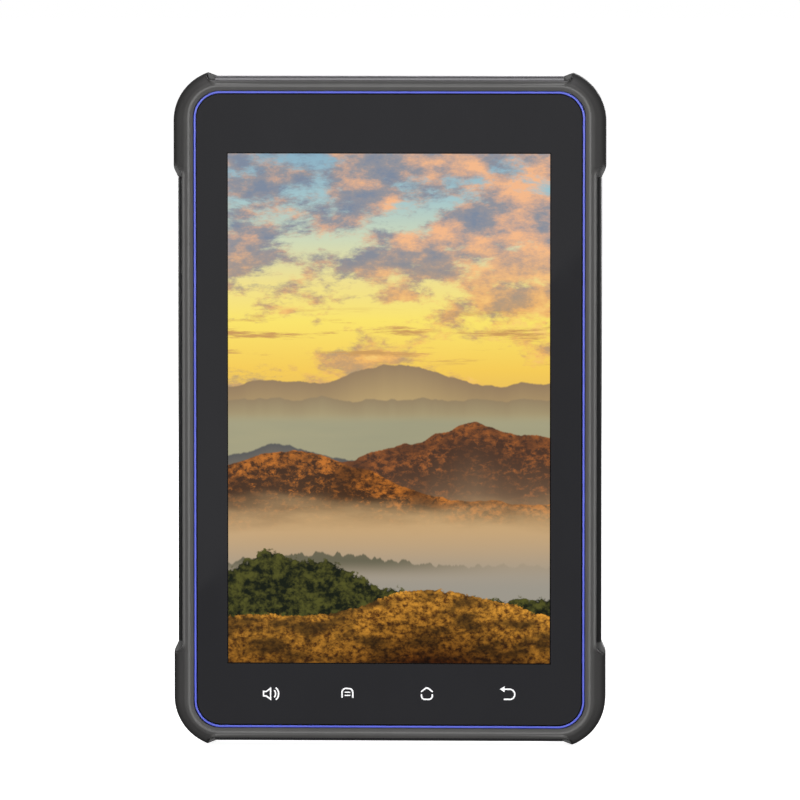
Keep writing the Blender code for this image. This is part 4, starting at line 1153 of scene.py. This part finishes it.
# Rounded edge of the back, as (inset, y).
BACK_EDGE = [
    (0.0, 5.2), (0.06, 5.65), (0.26, 6.1), (0.6, 6.55), (1.2, 7.05), (1.75, 7.4), (2.3, 7.56),
    (2.9, HOUSING_BACK_Y), (3.1, HOUSING_BACK_Y),
]


def make_rear_shell(looks):
    floor_y = HOUSING_BACK_Y - BACK_WALL
    levels = [(HOUSING_WALL, floor_y), (HOUSING_WALL, REAR_RIM_Y), (0.0, REAR_RIM_Y)] + BACK_EDGE
    loops = inset_loops(levels, HOUSING_X, HOUSING_Z, HOUSING_RADIUS, steps=18)
    shell = loft("rear_shell", loops, looks["housing"])
    outside = HOUSING_BACK_Y + 1.0
    inside = floor_y - 1.0
    bosses = [turned("boss", spot, [(3.0, -1.4), (3.0, floor_y + 0.9)], sides=32) for spot in SCREW_SPOTS]
    bosses += [turned("boss", spot, [(4.3, 3.3), (4.3, floor_y + 0.9)], sides=32) for spot in INSERT_SPOTS]
    combine(shell, bosses, "UNION")
    screw = [(1.55, -3.0), (1.55, 6.0), (2.5, 6.0), (2.5, HOUSING_BACK_Y - 0.15), (2.8, outside)]
    insert = [(2.86, 3.9), (2.86, HOUSING_BACK_Y - 0.1), (3.2, outside)]
    camera = [(4.4, inside), (4.4, 6.7), (7.65, 6.7), (7.65, HOUSING_BACK_Y - 0.2), (8.4, outside)]
    flash = [(2.6, inside), (2.6, HOUSING_BACK_Y - 0.15), (3.2, outside)]
    cuts = [turned("cut", spot, screw, sides=40) for spot in SCREW_SPOTS]
    cuts += [turned("cut", spot, insert, sides=40) for spot in INSERT_SPOTS]
    cuts.append(turned("cut", CAMERA_SPOT, camera, sides=64))
    cuts.append(turned("cut", FLASH_SPOT, flash, sides=40))
    through = rounded_rectangle(9.5, 3.0, 1.0, SPEAKER_SPOT, steps=6)
    recess = rounded_rectangle(11.1, 4.1, 1.1, SPEAKER_SPOT, steps=6)
    depths = ((through, inside), (through, 6.6), (recess, 6.6), (recess, outside))
    cuts.append(loft("cut", [at_depth(points, y) for points, y in depths]))
    for z in KEY_SPOTS.values():
        xs = (HOUSING_X - HOUSING_WALL - 1.0, HOUSING_X + 1.0)
        cuts.append(loft("cut", [stadium_loop(x, z, KEY_STEM + 0.8, KEY_STEM + 0.8) for x in xs]))
    for name in DOORS:
        low, high = span(f"{name}_door_seal")[2]
        xs = (-HOUSING_X - 1.0, -HOUSING_X + HOUSING_WALL + 1.0)
        cuts.append(box("cut", xs, around_side(2.3), (low - 0.7, high + 0.6)))
    zs = (-HOUSING_Z - 1.0, -HOUSING_Z + HOUSING_WALL + 0.5)
    cuts.append(box("cut", DOCK_XS, around_side(DOCK_OPENING), zs))
    combine(shell, cuts, "DIFFERENCE")
    place(shell, CASING, "housing", "rear_housing")


def star(centre, radius):
    """Outline of a six-lobed driver socket."""
    outline = []
    for i in range(SCREW_SIDES):
        angle = 2 * math.pi * i / SCREW_SIDES
        reach = radius * (0.87 + 0.13 * math.cos(6 * angle))
        outline.append((centre[0] + reach * math.cos(angle), centre[1] + reach * math.sin(angle)))
    return outline


def make_fasteners(looks):
    head = [(1.25, -2.2), (1.25, 6.3), (2.2, 6.3), (2.2, 7.1)]
    head += [(2.16, 7.22), (2.05, 7.32), (1.9, 7.38), (1.75, 7.4)]
    socket = [(1.28, 7.4), (1.2, 7.3), (1.2, 6.55)]
    for number, spot in enumerate(SCREW_SPOTS, start=1):
        loops = [at_depth(circle(spot, radius, SCREW_SIDES), y) for radius, y in head]
        loops += [at_depth(star(spot, radius), y) for radius, y in socket]
        screw = loft(f"screw_{number}", loops, looks["screw"], smooth_angle=30)
        place(screw, CASING, "screw", screw_node(spot))
    profile = [(2.8, 4.2), (2.8, 7.1), (2.72, 7.35), (2.55, 7.5), (1.98, 7.5)]
    for thread in range(7):
        y = 7.28 - 0.35 * thread
        profile += [(1.68, y), (1.92, y - 0.18)]
    profile += [(1.68, 4.9), (1.68, 4.2)]
    for number, spot in enumerate(INSERT_SPOTS, start=1):
        name = f"insert_{number}"
        insert = turned(name, spot, profile, looks["brass"], sides=40, closed=True, smooth_angle=20)
        place(insert, CASING, "insert", f"mount_insert_{number}")


def screw_node(spot):
    """CAD node of the housing screw at a spot."""
    for number in range(1, len(SCREW_SPOTS) + 1):
        (x0, x1), _, (z0, z1) = span(f"housing_screw_{number}")
        if math.hypot((x0 + x1) / 2 - spot[0], (z0 + z1) / 2 - spot[1]) < 1.0:
            return f"housing_screw_{number}"
    raise ValueError(f"no screw at {spot}")


def make_camera_fittings(looks):
    section = [(7.5, 7.0), (7.5, 7.95), (7.44, 8.18), (7.28, 8.36), (7.05, 8.47), (6.8, 8.5), (6.1, 8.5)]
    section += [(5.75, 8.44), (5.45, 8.2), (5.3, 8.05), (5.3, 7.0)]
    bezel = turned("camera_surround", CAMERA_SPOT, section, looks["bezel"], sides=96, closed=True)
    place(bezel, CASING, "bezel_ring", "camera_bezel")
    window = [(4.6, 7.6), (5.1, 7.6), (5.2, 7.68), (5.2, 7.9), (5.1, 7.98), (4.9, 8.0), (4.6, 8.0)]
    glass = turned("camera_glass", CAMERA_SPOT, window, looks["window"], sides=72)
    place(glass, CASING, "lens", "camera_window")
    barrel = [(3.4, 1.0), (3.4, 5.4), (5.2, 5.4), (5.2, 7.3), (4.2, 7.3), (4.0, 7.2), (3.7, 6.9), (3.5, 6.9)]
    barrel += [(3.2, 6.6), (3.0, 6.6), (2.7, 6.3), (2.3, 6.3), (2.2, 6.1)]
    housing = turned("camera_barrel", CAMERA_SPOT, barrel, looks["inner"], sides=64, smooth_angle=20)
    place(housing, CASING, "inner_plastic", "rear_camera")
    dome = [(2.25, 5.95)]
    for degrees in range(0, 90, 9):
        angle = math.radians(degrees)
        dome.append((2.25 * math.cos(angle), 6.15 + 0.45 * math.sin(angle)))
    dome.append((0.05, 6.6))
    place(turned("camera_lens", CAMERA_SPOT, dome, looks["lens"]), CASING, "lens")
    rings = [(2.5, 6.9), (2.5, 7.45), (2.42, 7.56), (2.3, 7.6)]
    for i in range(5):
        radius = 2.1 - 0.4 * i
        rings += [(radius, 7.6), (radius - 0.04, 7.5)]
    rings.append((0.3, 7.56))
    place(turned("flash_cover", FLASH_SPOT, rings, looks["window"]), CASING, "lens", "flash_lens")
    die = [(2.3, 6.3), (2.3, 6.6), (2.1, 6.8), (1.2, 6.8), (1.1, 6.72)]
    place(turned("flash_die", FLASH_SPOT, die, looks["phosphor"], sides=32), CASING, "ceramic")


def make_grille(looks):
    plate = soft_plate("speaker_cover", 11.0, 4.0, 1.0, SPEAKER_SPOT, (6.9, 7.5), 0.15, looks["bezel"], 8)
    slots = []
    for i in range(-3, 4):
        centre = (SPEAKER_SPOT[0] + 2.6 * i, SPEAKER_SPOT[1])
        levels = ((0.0, 6.0), (0.0, 7.38), (-0.25, 7.65))
        slots.append(loft("slot", inset_loops(levels, 0.55, 2.5, 0.54, centre, 6)))
    combine(plate, slots, "DIFFERENCE")
    place(plate, CASING, "sheet_steel", "speaker_grille")
    mesh = soft_plate("speaker_mesh", 9.3, 2.8, 0.8, SPEAKER_SPOT, (6.35, 6.5), 0.05, looks["inner"], 6)
    place(mesh, CASING, "inner_plastic")


# Finish of each CAD node that stays as it is: the pieces inside the casing.
INSIDE_LOOKS = {
    "glass_adhesive": "seal", "lcd_panel": "screen", "backlight_unit": "steel", "touch_key_flex": "flex",
    "display_flex": "flex", "mid_frame": "alloy", "main_seal": "seal", "main_board": "board",
    "shield_can_processor": "steel", "shield_can_radio": "steel", "thermal_pad": "ceramic",
    "bottom_board": "board", "board_flex": "flex", "battery_pack": "battery", "speaker_module": "inner",
    "microphone": "steel", "vibration_motor": "steel", "gnss_antenna": "ceramic", "wifi_antenna": "flex",
    "cellular_antenna": "flex", "side_key_board": "board",
}


def finish_inside(looks):
    for node, look in INSIDE_LOOKS.items():
        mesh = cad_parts[node].data
        mesh.materials.clear()
        mesh.materials.append(looks[look])


# ---------------------------------------------------------------- stage

CAMERA_DISTANCE = 2.975
CAMERA_AZIMUTH = 2.1
CAMERA_ELEVATION = 4.0
CAMERA_LENS = 400.0
VIEW_SHIFT = (3.30, 2.87)
REFLECTION_Y = -4.0
FLOOR_GLOW = 0.86
REFLECTED_LEVEL = 0.10
SEEN_LEVEL = 1.0
BODY_MIDDLE = Vector((0.0, 0.0, MIDDLE_Z * MM))

# Softboxes: azimuth, elevation (degrees), distance, size (metres), power and, where it isn't white, the tint.
LIGHTS = {
    "front_left": (-13.5, 3.0, 1.8, (0.22, 0.6), 15.5),
    "front_right": (13.5, 3.0, 1.8, (0.22, 0.6), 15.5),
    "overhead": (180.0, 68.0, 1.2, (0.9, 0.36), 5.0, 0.98, 0.96, 1.0),
    "low_rear": (180.0, 9.5, 1.5, (1.2, 0.36), 2.6, 0.98, 0.96, 1.0),
    "side_left": (-92.0, 4.0, 1.5, (0.42, 0.8), 0.45),
    "side_right": (92.0, 4.0, 1.5, (0.42, 0.8), 0.45),
    "rear_left": (-150.0, 12.0, 1.8, (0.7, 0.9), 16.0),
    "rear_right": (148.0, 16.0, 1.8, (0.7, 0.9), 14.0),
}


def direction(azimuth, elevation):
    """Unit vector from the body towards a point of the studio. Azimuth 0 is the front, angles in degrees."""
    a = math.radians(azimuth)
    e = math.radians(elevation)
    return Vector((math.sin(a) * math.cos(e), -math.cos(a) * math.cos(e), math.sin(e)))


def aim(name, data, target, back, distance):
    """Puts a camera or a light at a distance from its target, looking at it."""
    obj = bpy.data.objects.new(name, data)
    obj.location = target + back * distance
    obj.rotation_euler = (-back).to_track_quat("-Z", "Y").to_euler()
    bpy.context.scene.collection.objects.link(obj)
    return obj


def make_camera():
    back = direction(CAMERA_AZIMUTH, CAMERA_ELEVATION)
    right = direction(CAMERA_AZIMUTH + 90.0, 0.0)
    up = back.cross(right)
    target = BODY_MIDDLE + (right * VIEW_SHIFT[0] + up * VIEW_SHIFT[1]) * MM
    data = bpy.data.cameras.new("camera")
    data.lens = CAMERA_LENS
    data.sensor_width = 36.0
    data.clip_start = 0.05
    data.clip_end = 50.0
    camera = aim("camera", data, target, back, CAMERA_DISTANCE)
    bpy.context.scene.camera = camera
    return camera


def make_lights():
    """Rectangular lights that look at the middle of the body."""
    for name, (azimuth, elevation, distance, size, power, *tint) in LIGHTS.items():
        data = bpy.data.lights.new(name, "AREA")
        data.shape = "RECTANGLE"
        data.size, data.size_y = size
        data.energy = power
        data.color = tint or (1.0, 1.0, 1.0)
        light = aim(name, data, BODY_MIDDLE, direction(azimuth, elevation), distance)
        light.visible_camera = False


def staged(name, corners, graph):
    """Flat piece of the studio from corners in metres, which lights no matt surface."""
    mesh_data = bmesh.new()
    mesh_data.faces.new([mesh_data.verts.new(corner) for corner in corners])
    obj = link_mesh(name, mesh_data)
    obj.data.materials.append(graph.material)
    obj.visible_diffuse = False
    return obj


def make_reflection(camera):
    """Dim card behind the camera, whose slanting edge the cover glass mirrors across the screen."""
    eye = camera.location.copy()
    eye.y = 2 * GLASS_FRONT_Y * MM - eye.y
    corners = []
    for x, z in ((-90.0, -83.6), (90.0, 75.3), (90.0, 150.0), (-90.0, 150.0)):
        spot = Vector((x, GLASS_FRONT_Y, z + MIDDLE_Z)) * MM
        stretch = (REFLECTION_Y - eye.y) / (spot.y - eye.y)
        corners.append(eye + (spot - eye) * stretch)
    graph = Graph("card_glow")
    cloud = graph.between(graph.noise(graph.scaled(900.0)), 0.3, 0.7, 0.26, 0.30)
    graph.set(Base_Color=(0.0, 0.0, 0.0), Roughness=0.9)
    graph.set(Emission_Color=(1.0, 0.99, 0.97), Emission_Strength=cloud)
    card = staged("reflection_card", corners, graph)
    card.visible_camera = False
    card.visible_shadow = False


def make_world():
    """White behind the object and dim grey for everything that it reflects."""
    world = bpy.data.worlds.new("studio")
    world.use_nodes = True
    tree = world.node_tree
    background = tree.nodes["Background"]
    seen = tree.nodes.new("ShaderNodeLightPath").outputs["Is Camera Ray"]
    level = tree.nodes.new("ShaderNodeMapRange")
    tree.links.new(seen, level.inputs[0])
    level.inputs[3].default_value = REFLECTED_LEVEL
    level.inputs[4].default_value = SEEN_LEVEL
    tree.links.new(level.outputs[0], background.inputs["Strength"])
    background.inputs["Color"].default_value = (1.0, 1.0, 1.0, 1.0)
    bpy.context.scene.world = world
    bpy.context.scene.view_settings.view_transform = "Standard"


def make_floor():
    graph = Graph("floor_white")
    mottle = graph.between(graph.noise(graph.scaled(60.0)), 0.3, 0.7, 0.80, 0.84)
    graph.set(Base_Color=graph.node("ShaderNodeCombineColor", {0: mottle, 1: mottle, 2: mottle}).outputs[0])
    away = graph.node("ShaderNodeVectorMath", {0: graph.spot}, operation="LENGTH").outputs["Value"]
    glow = graph.between(away, 0.12, 0.5, FLOOR_GLOW, 1.0)
    graph.set(Roughness=0.9, Emission_Color=(1.0, 1.0, 1.0), Emission_Strength=glow)
    floor = staged("floor", at_height(circle((0.0, 0.0), 9.0, 64), 0.0), graph)
    floor.visible_glossy = False


def main():
    looks = make_looks()
    camera = make_camera()
    make_lights()
    make_reflection(camera)
    make_world()
    make_floor()
    make_bezel(looks)
    make_ring_and_glass(looks)
    make_display(looks)
    make_strips(looks)
    make_bumpers(looks)
    make_keys(looks)
    make_doors(looks)
    make_ports(looks)
    make_rear_shell(looks)
    make_fasteners(looks)
    make_camera_fittings(looks)
    make_grille(looks)
    finish_inside(looks)


main()
